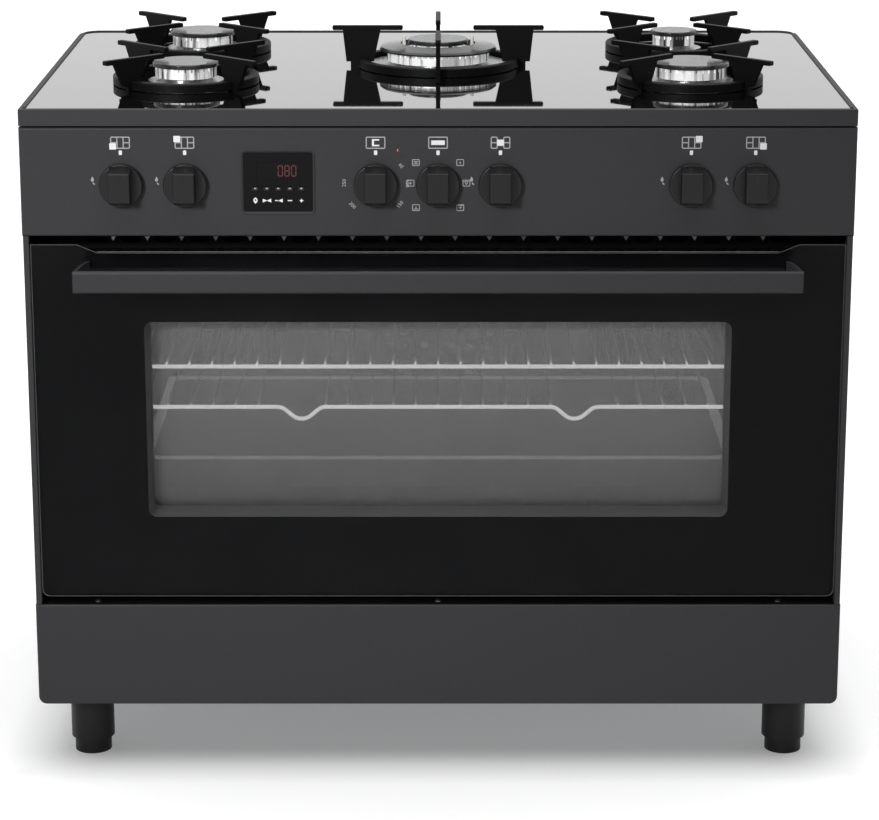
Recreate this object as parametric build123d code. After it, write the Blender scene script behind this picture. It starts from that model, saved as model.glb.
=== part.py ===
from build123d import *
import os
from math import hypot, pi

# Dual fuel range cooker: a glass gas hob with five burners over one electric fan oven.
# Millimetres. +X is right, +Y goes to the back and +Z is up.
# The origin is on the floor, under the middle of the whole outline.

# Overall sizes
WIDTH = 900.0
DEPTH = 600.0
LEG_HEIGHT = 75.0
PLINTH_HEIGHT = 118.0
PLINTH_GAP = 9.0
DOOR_HEIGHT = 402.5
VENT_GAP = 9.0
PANEL_HEIGHT = 118.3
HOB_GAP = 2.0
HOB_RIM = 18.0
HANDLE_REACH = 62.0

# Sheet metal and clearances
SHEET = 1.5
FRAME_SHEET = 2.0
RUN_FIT = 0.05
EASY_FIT = 0.3
SEAT_FIT = 1.0
SIDE_INSET = 1.0
SIDE_RETURN = 6.0
SIDE_HEM = 15.0
SIDE_SETBACK = 5.0
TOP_FLANGE = 20.0
REAR_RECESS = 30.0
PLINTH_RETURN = 30.0
PLINTH_CORNER = 9.0
FRAME_LAP = 10.0
EDGE_ROUND = 2.0

# Oven door
DOOR_RECESS = 2.0
DOOR_SIDE_GAP = 0.7
OUTER_GLASS = 4.0
INNER_GLASS = 5.0
DOOR_FRAME_DEPTH = 38.0
DOOR_FRAME_INSET = 4.0
DOOR_SHEET = 1.2
DOOR_CORNER = 8.0
GLASS_CHAMFER = 0.8
TOP_NOTCH_END = 51.0
TOP_NOTCH_SLOPE = 22.0
TOP_NOTCH_DROP = 9.0
WINDOW_SIDE = 121.3
WINDOW_BELOW = 92.3
WINDOW_ABOVE = 87.8
WINDOW_WALL_GAP = 6.0
WINDOW_LIP = 4.0
WINDOW_CORNER = 9.0
SWING_CLEAR = 1.44

# Door hinges
HINGE_SETBACK = 18.0
HINGE_RISE = 22.0
HINGE_INSET = 47.0
HINGE_PIN_RADIUS = 4.0
HINGE_EYE_RADIUS = 7.0
HINGE_PLATE = 6.0
HINGE_CHEEK = 4.5
HINGE_CHEEK_BELOW = 10.0
HINGE_CHEEK_ABOVE = 50.0
HINGE_WEB = 3.0
HINGE_BASE = 4.0
HINGE_BASE_REACH = 15.0

# Door handle
HANDLE_INSET = 53.0
HANDLE_HEIGHT = 24.0
HANDLE_THICKNESS = 8.0
HANDLE_BELOW_TOP = 29.0
HANDLE_ROUND = 3.0
HANDLE_ARM = 3.5
HANDLE_ARM_LEAN = 8.0
HANDLE_ARM_BOW = 2.0
HANDLE_ARM_HEIGHT = 20.0

# Oven
SIDE_ROOM = 86.0
MOTOR_ROOM = 71.0
INSULATION = 20.0
CAVITY_BELOW = 38.0
CAVITY_ABOVE = 44.5
CAVITY_CORNER = 15.0
CAVITY_FLANGE = 12.0
LEDGE_WIDTH = 10.0
LEDGE_HEIGHT = 4.0
LEDGE_MARGIN = 10.0
SHELF_LEVELS = (52.0, 104.0, 162.3, 209.0)
SHELF_SIDE_GAP = 6.0
SHELF_FRONT_GAP = 8.0
SHELF_BACK_GAP = 8.0
SHELF_CORNER = 16.0
RAIL_RADIUS = 2.2
WIRE_RADIUS = 1.3
WIRE_COUNT = 25
WIRE_END_GAP = 28.6
WIRE_SINK = 0.5
NOTCH_INSET = 179.0
NOTCH_WIDTH = 44.0
NOTCH_FLAT = 12.0
NOTCH_DEPTH = 13.6
NOTCH_ROUND = 14.0
TRAY_DEPTH = 35.0
TRAY_WALL = 1.2
TRAY_RIM = 9.0
TRAY_CORNER = 14.0
GASKET_WIDTH = 9.0
GASKET_MARGIN = 2.0
ELEMENT_RADIUS = 3.5
ELEMENT_LUG = 5.0
GRILL_DROP = 18.0
GRILL_RUNS = 6
GRILL_SIDE_GAP = 115.0
GRILL_BEND = 30.0
GRILL_FRONT_GAP = 60.0
RING_ELEMENT_RADIUS = 105.0
RING_LEG_SPREAD = 60.0

# Oven fan and lamps
BAFFLE_DEPTH = 35.0
BAFFLE_WIDTH = 380.0
BAFFLE_HEIGHT = 240.0
BAFFLE_SHEET = 1.2
BAFFLE_HOLE_RADIUS = 5.0
BAFFLE_RING_RADII = (24.0, 44.0, 64.0)
BAFFLE_RING_COUNTS = (8, 14, 20)
FAN_RADIUS = 80.0
FAN_HEIGHT = 18.0
FAN_DISC = 1.5
FAN_HUB_RADIUS = 12.0
FAN_BLADES = 12
FAN_BLADE_ROOT = 36.0
FAN_GAP = 8.0
SHAFT_RADIUS = 3.0
SHAFT_GRIP = 35.0
MOTOR_RADIUS = 32.0
MOTOR_LENGTH = 80.0
MOTOR_BOSS_RADIUS = 8.0
LAMP_INSET = 70.0
LAMP_DROP = 45.0
LAMP_COVER_RADIUS = 24.0
LAMP_COVER_HEIGHT = 12.0
LAMP_BODY_RADIUS = 18.0
LAMP_BODY_LENGTH = 45.0

# Control panel
KNOB_END_INSET = 109.0
KNOB_PAIR_PITCH = 69.0
KNOB_CENTRE_PITCH = 67.0
KNOB_DROP = 2.5
KNOB_RADIUS = 23.5
KNOB_SKIRT = 5.0
KNOB_GRIP_DEPTH = 17.0
KNOB_GRIP_WIDTH = 23.0
KNOB_GRIP_BASE = 42.0
KNOB_GRIP_FACE = 32.0
KNOB_ROUND = 1.5
KNOB_GAP = 3.5
KNOB_PUSH = 3.0
SPINDLE_RADIUS = 4.0
SPINDLE_FLAT = 2.6
SPINDLE_FRONT = 14.0
SPINDLE_GRIP = 16.0
PANEL_HOLE_RADIUS = 6.5
PILOT_RADIUS = 2.5
PILOT_X = -43.0
PILOT_RISE = 34.5
TAP_FRONT = 20.0
TAP_NOSE = 8.0
TAP_NOSE_RADIUS = 9.0
TAP_WIDTH = 24.0
TAP_LENGTH = 50.0
TAP_HEIGHT = 28.0
SWITCH_NOSE = 10.5
SWITCH_SIZE = 44.0
SWITCH_LENGTH = 40.0
TIMER_X = -172.0
TIMER_WIDTH = 75.0
TIMER_HEIGHT = 65.0
TIMER_CORNER = 3.0
TIMER_SINK = 1.0
TIMER_WALL = 2.0
TIMER_DEPTH = 36.0
TIMER_EAR = 5.0
DISPLAY_WIDTH = 46.0
DISPLAY_HEIGHT = 18.0
DISPLAY_RISE = 12.2
DISPLAY_SINK = 0.6
BUTTON_COUNT = 5
BUTTON_PITCH = 12.4
BUTTON_DROP = 7.2
BUTTON_WIDTH = 7.0
BUTTON_HEIGHT = 4.0
BUTTON_ROUND = 1.2
BUTTON_PROUD = 1.6
BUTTON_LENGTH = 8.0
BUTTON_FIT = 0.2
BUTTON_COLLAR = 1.0

# Gas supply
GAS_RAIL = 20.0
GAS_RAIL_SETBACK = 58.0
PIPE_RADIUS = 4.0
PIPE_BEND = 20.0
PIPE_OFFSET = 15.0
INLET_INSET = 50.0
INLET_PIPE_RADIUS = 8.0
INLET_RADIUS = 10.48
INLET_LENGTH = 18.0
INLET_SETBACK = 8.0
INLET_HOLE_RADIUS = 13.0
TERMINAL_INSET = 120.0
TERMINAL_Z = 420.0
TERMINAL_WIDTH = 110.0
TERMINAL_HEIGHT = 70.0
TERMINAL_DEPTH = 26.0
TERMINAL_WALL = 2.0
GLAND_RADIUS = 11.0
GLAND_LENGTH = 16.0
CABLE_RADIUS = 6.5

# Hob
HOB_BORDER = 6.0
HOB_GLASS = 5.0
HOB_DECK = 1.5
HOB_CORNER = 26.0
HOB_FRONT_CORNER = 2.0
HOB_ROUND = 1.2
HOB_SKIRT_INSET = 8.0
HOB_SKIRT = 4.0
BURNER_SIDE_INSET = 166.0
BURNER_FRONT_INSET = 183.0
BURNER_REAR_INSET = 166.0
BURNER_CENTRE_INSET = 308.0
CUP_FLANGE = 5.0
CUP_FLANGE_HEIGHT = 4.0
CUP_NECK_GAP = 8.0
CUP_DEPTH = 30.0
HEAD_OVERHANG = 3.0
HEAD_LIFT = 8.0
HEAD_HEIGHT = 12.0
CAP_HEIGHT = 5.0
CAP_ROUND = 1.5
PORT_WIDTH = 1.8
PORT_HEIGHT = 4.0
PORT_DEPTH = 3.0
PORT_PITCH = 7.5
PROBE_RADIUS = 2.0
PROBE_OFFSET = 2.6
PROBE_HEIGHT = 15.0
PROBE_SPREAD = 40.0
WOK_CUP_RADIUS = 81.0
WOK_HEAD_RADIUS = 59.5
WOK_CAP_RADIUS = 68.3
WOK_CAP_BORE = 43.5
WOK_CAP_EDGE = 4.0
WOK_CAP_RISE = 3.5
WOK_INNER_HEAD_RADIUS = 31.0
WOK_INNER_HEAD_HEIGHT = 7.5
WOK_INNER_CAP_RADIUS = 35.5
WOK_PROBE_RADIUS = 39.6

# Pan supports
SUPPORT_BAR = 5.3
SUPPORT_BAR_WIDTH = 6.0
SUPPORT_PLATE = 5.0
SUPPORT_RING_HEIGHT = 10.5
SUPPORT_RING_LIFT = 1.0
SUPPORT_FOOT = 5.6
SMALL_SUPPORT_HEIGHT = 36.6
SMALL_TIP_RADIUS = 117.0
SMALL_INNER_TIP = 33.0
SMALL_PLATE_TOP = (59.0, 104.0)
SMALL_PLATE_BASE = (70.0, 92.0)
SMALL_FOOT = (76.0, 86.0)
SMALL_RING = (71.0, 82.0)
WOK_SUPPORT_HEIGHT = 47.5
WOK_TIP_RADIUS = 123.0
WOK_INNER_TIP = 41.0
WOK_PLATE_TOP = (67.0, 111.0)
WOK_PLATE_BASE = (75.0, 107.0)
WOK_FOOT = (93.0, 102.0)
WOK_RING = (84.0, 93.0)

# Legs and screws
LEG_INSET = 53.0
LEG_FRONT = 60.0
LEG_REAR = 110.0
LEG_RADIUS = 24.5
LEG_SLEEVE = 58.0
FOOT_RADIUS = 20.75
FOOT_STEM_RADIUS = 10.0
FOOT_STEM = 25.0
SCREW_INSET = 69.0
SCREW_SETBACK = 12.0
SCREW_HEAD_RADIUS = 3.6
SCREW_HEAD_HEIGHT = 1.8
SCREW_RADIUS = 1.9
SCREW_LENGTH = 8.0
VENT_END_INSET = 66.3
VENT_COUNT = 21
VENT_WIDTH = 24.0
VENT_HEIGHT = 14.0
VENT_DROP = 2.5
REAR_SLOT_COUNT = 12
REAR_SLOT_PITCH = 30.0
REAR_SLOT_WIDTH = 5.0
REAR_SLOT_HEIGHT = 60.0
REAR_SLOT_Z = 640.0

# Levels
PLINTH_TOP = LEG_HEIGHT + PLINTH_HEIGHT
DOOR_BOTTOM = PLINTH_TOP + PLINTH_GAP
DOOR_TOP = DOOR_BOTTOM + DOOR_HEIGHT
PANEL_BOTTOM = DOOR_TOP + VENT_GAP
PANEL_TOP = PANEL_BOTTOM + PANEL_HEIGHT
PANEL_MID = (PANEL_BOTTOM + PANEL_TOP) / 2
HOB_BOTTOM = PANEL_TOP + HOB_GAP
HOB_TOP = HOB_BOTTOM + HOB_RIM
KNOB_Z = PANEL_MID - KNOB_DROP
BUTTON_Z = PANEL_MID - BUTTON_DROP
RAIL_TOP = KNOB_Z - TAP_HEIGHT / 2
RAIL_Z = RAIL_TOP - GAS_RAIL / 2
HANDLE_Z = DOOR_TOP - HANDLE_BELOW_TOP
FRAME_TOP = PANEL_BOTTOM + FRAME_LAP
CAVITY_FLOOR = DOOR_BOTTOM + CAVITY_BELOW
CAVITY_TOP = DOOR_TOP - CAVITY_ABOVE
CAVITY_MID = (CAVITY_FLOOR + CAVITY_TOP) / 2
LAMP_Z = CAVITY_TOP - LAMP_DROP
WINDOW_BOTTOM = DOOR_BOTTOM + WINDOW_BELOW
WINDOW_TOP = DOOR_TOP - WINDOW_ABOVE

# Depths
FRONT = (HANDLE_REACH - DEPTH) / 2
BACK = FRONT + DEPTH
DOOR_FACE = FRONT + DOOR_RECESS
GLASS_BACK = DOOR_FACE + OUTER_GLASS
DOOR_BACK = GLASS_BACK + DOOR_FRAME_DEPTH
HINGE_Y = DOOR_FACE + HINGE_SETBACK
HINGE_Z = DOOR_BOTTOM + HINGE_RISE
DOOR_SWEEP = hypot(DOOR_BACK - HINGE_Y, HINGE_RISE)
FRAME_FACE = HINGE_Y + DOOR_SWEEP + SWING_CLEAR
FRAME_BACK = FRAME_FACE + FRAME_SHEET
REAR_OUTER = BACK - REAR_RECESS
REAR_INNER = REAR_OUTER - SHEET
SIDE_BACK = BACK - SIDE_SETBACK
CAVITY_BACK = REAR_INNER - MOTOR_ROOM - INSULATION - SHEET
CAVITY_REAR_OUTER = CAVITY_BACK + SHEET
HANDLE_FRONT = FRONT - HANDLE_REACH
HANDLE_BACK = HANDLE_FRONT + HANDLE_THICKNESS
SHELF_FRONT = FRAME_BACK + SHELF_FRONT_GAP + RAIL_RADIUS
SHELF_BACK = CAVITY_BACK - BAFFLE_DEPTH - SHELF_BACK_GAP - RAIL_RADIUS
RAIL_FRONT = FRONT + GAS_RAIL_SETBACK
TAP_BACK = FRONT + TAP_FRONT + TAP_NOSE + TAP_LENGTH
TIMER_FACE = FRONT + TIMER_SINK

# Half widths
HALF = WIDTH / 2
SIDE_OUTER = HALF - SIDE_INSET
SIDE_INNER = SIDE_OUTER - SHEET
DOOR_HALF = SIDE_OUTER - SIDE_RETURN - DOOR_SIDE_GAP
DOOR_FRAME_HALF = DOOR_HALF - DOOR_FRAME_INSET
WINDOW_HALF = DOOR_HALF - WINDOW_SIDE
CAVITY_HALF = SIDE_INNER - SIDE_ROOM - INSULATION - SHEET
SHELF_HALF = CAVITY_HALF - SHELF_SIDE_GAP - RAIL_RADIUS
HINGE_X = DOOR_HALF - HINGE_INSET
HANDLE_HALF = DOOR_HALF - HANDLE_INSET
LEG_X = HALF - LEG_INSET
SCREW_X = HALF - SCREW_INSET
INLET_X = HALF - INLET_INSET
TERMINAL_X = TERMINAL_INSET - HALF
LAMP_X = CAVITY_HALF - LAMP_INSET
NOTCH_X = SHELF_HALF - NOTCH_INSET
WIRE_END = SHELF_HALF - WIRE_END_GAP
VENT_END = DOOR_HALF - VENT_END_INSET
GRILL_END = CAVITY_HALF - GRILL_SIDE_GAP

# Places of the knobs, by the burner or the oven control that each one serves
GAS_KNOBS = {
    "front_left": -(HALF - KNOB_END_INSET),
    "rear_left": -(HALF - KNOB_END_INSET - KNOB_PAIR_PITCH),
    "centre": KNOB_CENTRE_PITCH,
    "rear_right": HALF - KNOB_END_INSET - KNOB_PAIR_PITCH,
    "front_right": HALF - KNOB_END_INSET,
}
OVEN_KNOBS = {"thermostat": -KNOB_CENTRE_PITCH, "selector": 0.0}

# Places of the burners, and the cap radius of the four small ones
BURNER_X = HALF - BURNER_SIDE_INSET
BURNER_FRONT_Y = FRONT + BURNER_FRONT_INSET
BURNER_REAR_Y = BACK - BURNER_REAR_INSET
WOK_PLACE = (0.0, FRONT + BURNER_CENTRE_INSET)
SMALL_BURNERS = {
    "front_left": (-BURNER_X, BURNER_FRONT_Y, 37.5),
    "rear_left": (-BURNER_X, BURNER_REAR_Y, 39.0),
    "rear_right": (BURNER_X, BURNER_REAR_Y, 28.0),
    "front_right": (BURNER_X, BURNER_FRONT_Y, 43.5),
}


def block(x0, x1, y0, y1, z0, z1):
    """A box between two corners."""
    return Pos((x0 + x1) / 2, (y0 + y1) / 2, (z0 + z1) / 2) * Box(x1 - x0, y1 - y0, z1 - z0)


def rod_x(x0, x1, y, z, radius):
    """A round bar along X."""
    return Pos((x0 + x1) / 2, y, z) * Rot(0, 90, 0) * Cylinder(radius, x1 - x0)


def rod_y(x, y0, y1, z, radius):
    """A round bar along Y."""
    return Pos(x, (y0 + y1) / 2, z) * Rot(90, 0, 0) * Cylinder(radius, y1 - y0)


def rod_z(x, y, z0, z1, radius):
    """A round bar along Z."""
    return Pos(x, y, (z0 + z1) / 2) * Cylinder(radius, z1 - z0)


def front_plate(sketch, y0, y1):
    """A plate whose outline is drawn in X and Z, between two depths."""
    plane = Plane(origin=(0, y1, 0), x_dir=(1, 0, 0), z_dir=(0, -1, 0))
    return extrude(plane * sketch, amount=y1 - y0)


def side_plate(sketch, x0, x1):
    """A plate whose outline is drawn in Y and Z, between two widths."""
    plane = Plane(origin=(x0, 0, 0), x_dir=(0, 1, 0), z_dir=(1, 0, 0))
    return extrude(plane * sketch, amount=x1 - x0)


def panel_sketch(x0, x1, z0, z1, radius):
    """A rectangle with four round corners."""
    return Pos((x0 + x1) / 2, (z0 + z1) / 2) * RectangleRounded(x1 - x0, z1 - z0, radius)


def round_lower(sketch, radius):
    """The same outline with its two lowest corners rounded."""
    return fillet(sketch.vertices().sort_by(Axis.Y)[:2], radius)


def round_face(shape):
    """The same shape with the edges of its front face rounded, as folded sheet has."""
    return fillet(shape.faces().sort_by(Axis.Y)[0].edges(), EDGE_ROUND)


def bar_along(path, radius):
    """A round bar along a path."""
    return sweep(Plane(origin=path @ 0, z_dir=path % 0) * Circle(radius), path=path)


def tube(points, bend, radius):
    """A round bar along straight runs joined by arcs."""
    return bar_along(FilletPolyline(*points, radius=bend), radius)


def both_sides(shape):
    """A shape and its mirror image about the middle plane."""
    return group([shape, mirror(shape, about=Plane.YZ)])


def group(shapes):
    """Separate solids kept together under one name."""
    return Compound(children=[solid for shape in shapes for solid in shape.solids()])


def spread(end, count):
    """Even places along X from one end to its mirror image."""
    return [end * (2 * i / (count - 1) - 1) for i in range(count)]


def side_panels():
    """Folded side walls, each with a narrow return beside the door."""
    outline = make_face(Polyline(
        (FRONT + PLINTH_RETURN, LEG_HEIGHT), (SIDE_BACK, LEG_HEIGHT), (SIDE_BACK, PANEL_TOP),
        (FRAME_FACE, PANEL_TOP), (FRAME_FACE, PANEL_BOTTOM), (FRONT, PANEL_BOTTOM),
        (FRONT, PLINTH_TOP), (FRONT + PLINTH_RETURN, PLINTH_TOP), close=True))
    wall = side_plate(outline, SIDE_INNER, SIDE_OUTER)
    lip = SIDE_OUTER - SIDE_RETURN
    wall += block(lip, SIDE_OUTER, FRONT, FRONT + SHEET, PLINTH_TOP, PANEL_BOTTOM)
    wall += block(lip, lip + SHEET, FRONT, FRONT + SIDE_HEM, PLINTH_TOP, PANEL_BOTTOM)
    wall += block(SIDE_OUTER - TOP_FLANGE, SIDE_OUTER, FRAME_FACE, SIDE_BACK, PANEL_TOP - SHEET, PANEL_TOP)
    return both_sides(wall)


def rear_panel():
    """Rear wall with air slots and the gas inlet hole."""
    wall = block(-SIDE_INNER, SIDE_INNER, REAR_INNER, REAR_OUTER, LEG_HEIGHT + SHEET, PANEL_TOP - SHEET)
    first = -REAR_SLOT_PITCH * (REAR_SLOT_COUNT - 1) / 2
    slots = [front_plate(Pos(first + i * REAR_SLOT_PITCH, REAR_SLOT_Z)
                         * SlotOverall(REAR_SLOT_HEIGHT, REAR_SLOT_WIDTH, rotation=90),
                         REAR_INNER - SHEET, REAR_OUTER + SHEET) for i in range(REAR_SLOT_COUNT)]
    hole = rod_y(INLET_X, REAR_INNER - SHEET, REAR_OUTER + SHEET, RAIL_Z, INLET_HOLE_RADIUS)
    return wall - slots - hole


def base_panel():
    """Bottom sheet that the legs are fixed to."""
    return block(-SIDE_INNER, SIDE_INNER, FRONT + PLINTH_RETURN, REAR_OUTER, LEG_HEIGHT, LEG_HEIGHT + SHEET)


def mouth_sketch(grow):
    """Outline of the oven mouth, grown outwards by an even margin."""
    return panel_sketch(-CAVITY_HALF - grow, CAVITY_HALF + grow, CAVITY_FLOOR - grow, CAVITY_TOP + grow,
                        CAVITY_CORNER + grow)


def front_frame():
    """Steel frame round the oven mouth, with cooling slots, hinge slots and a shelf for the plinth."""
    wall = block(-SIDE_INNER, SIDE_INNER, FRAME_FACE, FRAME_BACK, LEG_HEIGHT + SHEET, FRAME_TOP)
    wall -= front_plate(mouth_sketch(0), FRAME_FACE - SHEET, FRAME_BACK + SHEET)
    vent_z = DOOR_TOP - VENT_DROP
    wall -= [front_plate(Pos(x, vent_z) * SlotOverall(VENT_WIDTH, VENT_HEIGHT),
                         FRAME_FACE - SHEET, FRAME_BACK + SHEET) for x in spread(VENT_END, VENT_COUNT)]
    half = HINGE_PLATE / 2 + EASY_FIT
    tall = HINGE_EYE_RADIUS + EASY_FIT
    for x in (-HINGE_X, HINGE_X):
        wall -= block(x - half, x + half, FRAME_FACE - SHEET, FRAME_BACK + SHEET,
                      HINGE_Z - tall, HINGE_Z + tall)
    shelf_top = PLINTH_TOP - SHEET
    shelf = block(-SIDE_INNER + SEAT_FIT, SIDE_INNER - SEAT_FIT, FRONT + SHEET + SEAT_FIT, FRAME_FACE,
                  shelf_top - FRAME_SHEET, shelf_top)
    for x in (-SCREW_X, 0, SCREW_X):
        shelf -= rod_z(x, FRONT + SCREW_SETBACK, shelf_top - 2 * FRAME_SHEET, shelf_top + SHEET,
                       SCREW_RADIUS + EASY_FIT)
    return wall + shelf


def plinth_panel():
    """Folded panel below the door, screwed down through its top flange."""
    middle = Pos(0, (LEG_HEIGHT + PLINTH_TOP) / 2)
    sketch = round_lower(middle * Rectangle(WIDTH, PLINTH_HEIGHT), PLINTH_CORNER)
    inner = round_lower(middle * Rectangle(WIDTH - 2 * SHEET, PLINTH_HEIGHT - 2 * SHEET),
                        PLINTH_CORNER - SHEET)
    shell = round_face(front_plate(sketch, FRONT, FRONT + PLINTH_RETURN))
    shell -= front_plate(inner, FRONT + SHEET, FRONT + PLINTH_RETURN)
    for x in (-SCREW_X, 0, SCREW_X):
        shell -= rod_z(x, FRONT + SCREW_SETBACK, PLINTH_TOP - 2 * SHEET, PLINTH_TOP + SHEET,
                       SCREW_RADIUS + EASY_FIT)
    return shell


def plinth_screws():
    """Three pan head screws on the plinth's top flange."""
    screws = []
    for x in (-SCREW_X, 0, SCREW_X):
        y = FRONT + SCREW_SETBACK
        head = rod_z(x, y, PLINTH_TOP, PLINTH_TOP + SCREW_HEAD_HEIGHT, SCREW_HEAD_RADIUS)
        screws.append(head + rod_z(x, y, PLINTH_TOP - SCREW_LENGTH, PLINTH_TOP, SCREW_RADIUS))
    return group(screws)


def control_panel():
    """Folded fascia with holes for the knobs, the timer and the pilot lamp."""
    shell = round_face(block(-HALF, HALF, FRONT, FRAME_FACE, PANEL_BOTTOM, PANEL_TOP))
    shell -= block(-HALF + SHEET, HALF - SHEET, FRONT + SHEET, FRAME_FACE,
                   PANEL_BOTTOM + SHEET, PANEL_TOP - SHEET)
    ahead = FRONT - SHEET
    behind = FRONT + 2 * SHEET
    for x in (*GAS_KNOBS.values(), *OVEN_KNOBS.values()):
        shell -= rod_y(x, ahead, behind, KNOB_Z, PANEL_HOLE_RADIUS)
    shell -= rod_y(PILOT_X, ahead, behind, PANEL_MID + PILOT_RISE, PILOT_RADIUS)
    cut = Pos(TIMER_X, PANEL_MID) * RectangleRounded(TIMER_WIDTH, TIMER_HEIGHT, TIMER_CORNER)
    return shell - front_plate(cut, ahead, behind)


def leg_places():
    """Middle of each leg."""
    return [(x, y) for x in (-LEG_X, LEG_X) for y in (FRONT + LEG_FRONT, BACK - LEG_REAR)]


def legs():
    """Four leg sleeves under the base panel."""
    bottom = LEG_HEIGHT - LEG_SLEEVE
    return group([rod_z(x, y, bottom, LEG_HEIGHT, LEG_RADIUS)
                  - rod_z(x, y, bottom, bottom + FOOT_STEM + SEAT_FIT, FOOT_STEM_RADIUS + EASY_FIT)
                  for x, y in leg_places()])


def feet():
    """Four adjustable feet in the leg sleeves."""
    top = LEG_HEIGHT - LEG_SLEEVE
    return group([rod_z(x, y, 0, top, FOOT_RADIUS) + rod_z(x, y, top, top + FOOT_STEM, FOOT_STEM_RADIUS)
                  for x, y in leg_places()])


def hob_places():
    """Middle of each burner, with the radius of its cup below the flange."""
    places = [(x, y, cap - CUP_NECK_GAP) for x, y, cap in SMALL_BURNERS.values()]
    return places + [(*WOK_PLACE, WOK_HEAD_RADIUS)]


def hob_tray():
    """Steel hob tray: a raised rim, a deck under the glass and a lower seat set in from the rim."""
    deck_top = HOB_TOP - HOB_GLASS
    deck_bottom = deck_top - HOB_DECK
    tray = block(-HALF, HALF, FRONT, BACK, HOB_BOTTOM, HOB_TOP)
    corners = tray.edges().filter_by(Axis.Z).sort_by(Axis.Y)
    tray = fillet(corners[2:], HOB_CORNER)
    corners = tray.edges().filter_by(Axis.Z).sort_by(Axis.Y)
    tray = fillet(corners[:2], HOB_FRONT_CORNER)
    tray = fillet(tray.faces().sort_by(Axis.Z)[-1].edges(), HOB_ROUND)
    tray -= hob_glass_blank(deck_top, HOB_TOP, 0)
    tray -= block(-HALF + HOB_BORDER, HALF - HOB_BORDER, FRONT + HOB_BORDER, BACK - HOB_CORNER,
                  HOB_BOTTOM, deck_bottom)
    edge = HALF - HOB_SKIRT_INSET
    seat = block(-edge, edge, FRONT + HOB_SKIRT_INSET, REAR_OUTER, PANEL_TOP, deck_bottom)
    seat -= block(-edge + HOB_SKIRT, edge - HOB_SKIRT, FRONT + HOB_SKIRT_INSET + HOB_SKIRT,
                  REAR_OUTER - HOB_SKIRT, PANEL_TOP, deck_bottom)
    tray += seat
    return tray - [rod_z(x, y, deck_bottom, deck_top, radius + SEAT_FIT) for x, y, radius in hob_places()]


def hob_glass_blank(z0, z1, shrink):
    """Glass plate with round rear corners, shrunk evenly for its fit in the tray."""
    inset = HOB_BORDER + shrink
    plate = block(-HALF + inset, HALF - inset, FRONT + inset, BACK - inset, z0, z1)
    corners = plate.edges().filter_by(Axis.Z).sort_by(Axis.Y)
    return fillet(corners[2:], HOB_CORNER - HOB_BORDER)


def hob_glass():
    """Black glass top with a hole for each burner."""
    plate = hob_glass_blank(HOB_TOP - HOB_GLASS, HOB_TOP, EASY_FIT)
    return plate - [rod_z(x, y, HOB_TOP - HOB_GLASS, HOB_TOP, radius + SEAT_FIT)
                    for x, y, radius in hob_places()]


def burner_cups():
    """Burner bases: a flange on the glass and a cup through it."""
    cups = []
    for x, y, cap in SMALL_BURNERS.values():
        neck = cap - CUP_NECK_GAP
        cup = rod_z(x, y, HOB_TOP, HOB_TOP + CUP_FLANGE_HEIGHT, cap + CUP_FLANGE)
        cup += rod_z(x, y, HOB_TOP - CUP_DEPTH, HOB_TOP, neck)
        cup += rod_z(x, y, HOB_TOP + CUP_FLANGE_HEIGHT, HOB_TOP + HEAD_LIFT, neck)
        cups.append(cup)
    x, y = WOK_PLACE
    cup = rod_z(x, y, HOB_TOP, HOB_TOP + CUP_FLANGE_HEIGHT, WOK_CUP_RADIUS)
    cup += rod_z(x, y, HOB_TOP - CUP_DEPTH, HOB_TOP, WOK_HEAD_RADIUS)
    cup += rod_z(x, y, HOB_TOP + CUP_FLANGE_HEIGHT, HOB_TOP + HEAD_LIFT, WOK_HEAD_RADIUS - CUP_NECK_GAP)
    return group(cups + [cup])


def ported_ring(x, y, z0, z1, radius):
    """A burner head with flame ports round its upper edge."""
    head = rod_z(x, y, z0, z1, radius)
    count = round(2 * pi * radius / PORT_PITCH)
    port = Box(2 * PORT_DEPTH, PORT_WIDTH, PORT_HEIGHT)
    ports = PolarLocations(radius, count)
    return head - [Pos(x, y, z1 - PORT_HEIGHT / 2) * place * port for place in ports]


def burner_heads():
    """Aluminium burner heads, with a second inner head on the centre burner."""
    z0 = HOB_TOP + HEAD_LIFT
    z1 = z0 + HEAD_HEIGHT
    heads = [ported_ring(x, y, z0, z1, cap - HEAD_OVERHANG) for x, y, cap in SMALL_BURNERS.values()]
    x, y = WOK_PLACE
    outer = ported_ring(x, y, z0, z1, WOK_HEAD_RADIUS)
    inner = ported_ring(x, y, z1, z1 + WOK_INNER_HEAD_HEIGHT, WOK_INNER_HEAD_RADIUS)
    return group(heads + [outer + inner])


def disc_cap(x, y, z, radius):
    """A flat burner cap with a soft upper edge."""
    cap = rod_z(x, y, z, z + CAP_HEIGHT, radius)
    return fillet(cap.edges().group_by(Axis.Z)[-1], CAP_ROUND)


def burner_caps():
    """Burner caps: four discs, and a cone-shaped ring with an inner disc on the centre burner."""
    z = HOB_TOP + HEAD_LIFT + HEAD_HEIGHT
    caps = [disc_cap(x, y, z, cap) for x, y, cap in SMALL_BURNERS.values()]
    section = make_face(Polyline(
        (WOK_CAP_BORE, 0), (WOK_CAP_RADIUS, 0), (WOK_CAP_RADIUS, WOK_CAP_EDGE / 2),
        (WOK_CAP_RADIUS - WOK_CAP_EDGE / 2, WOK_CAP_EDGE), (WOK_CAP_BORE, WOK_CAP_EDGE + WOK_CAP_RISE),
        close=True))
    ring = Pos(*WOK_PLACE, z) * revolve(Plane.XZ * section, axis=Axis.Z)
    return group(caps + [ring, disc_cap(*WOK_PLACE, z + WOK_INNER_HEAD_HEIGHT, WOK_INNER_CAP_RADIUS)])


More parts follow.
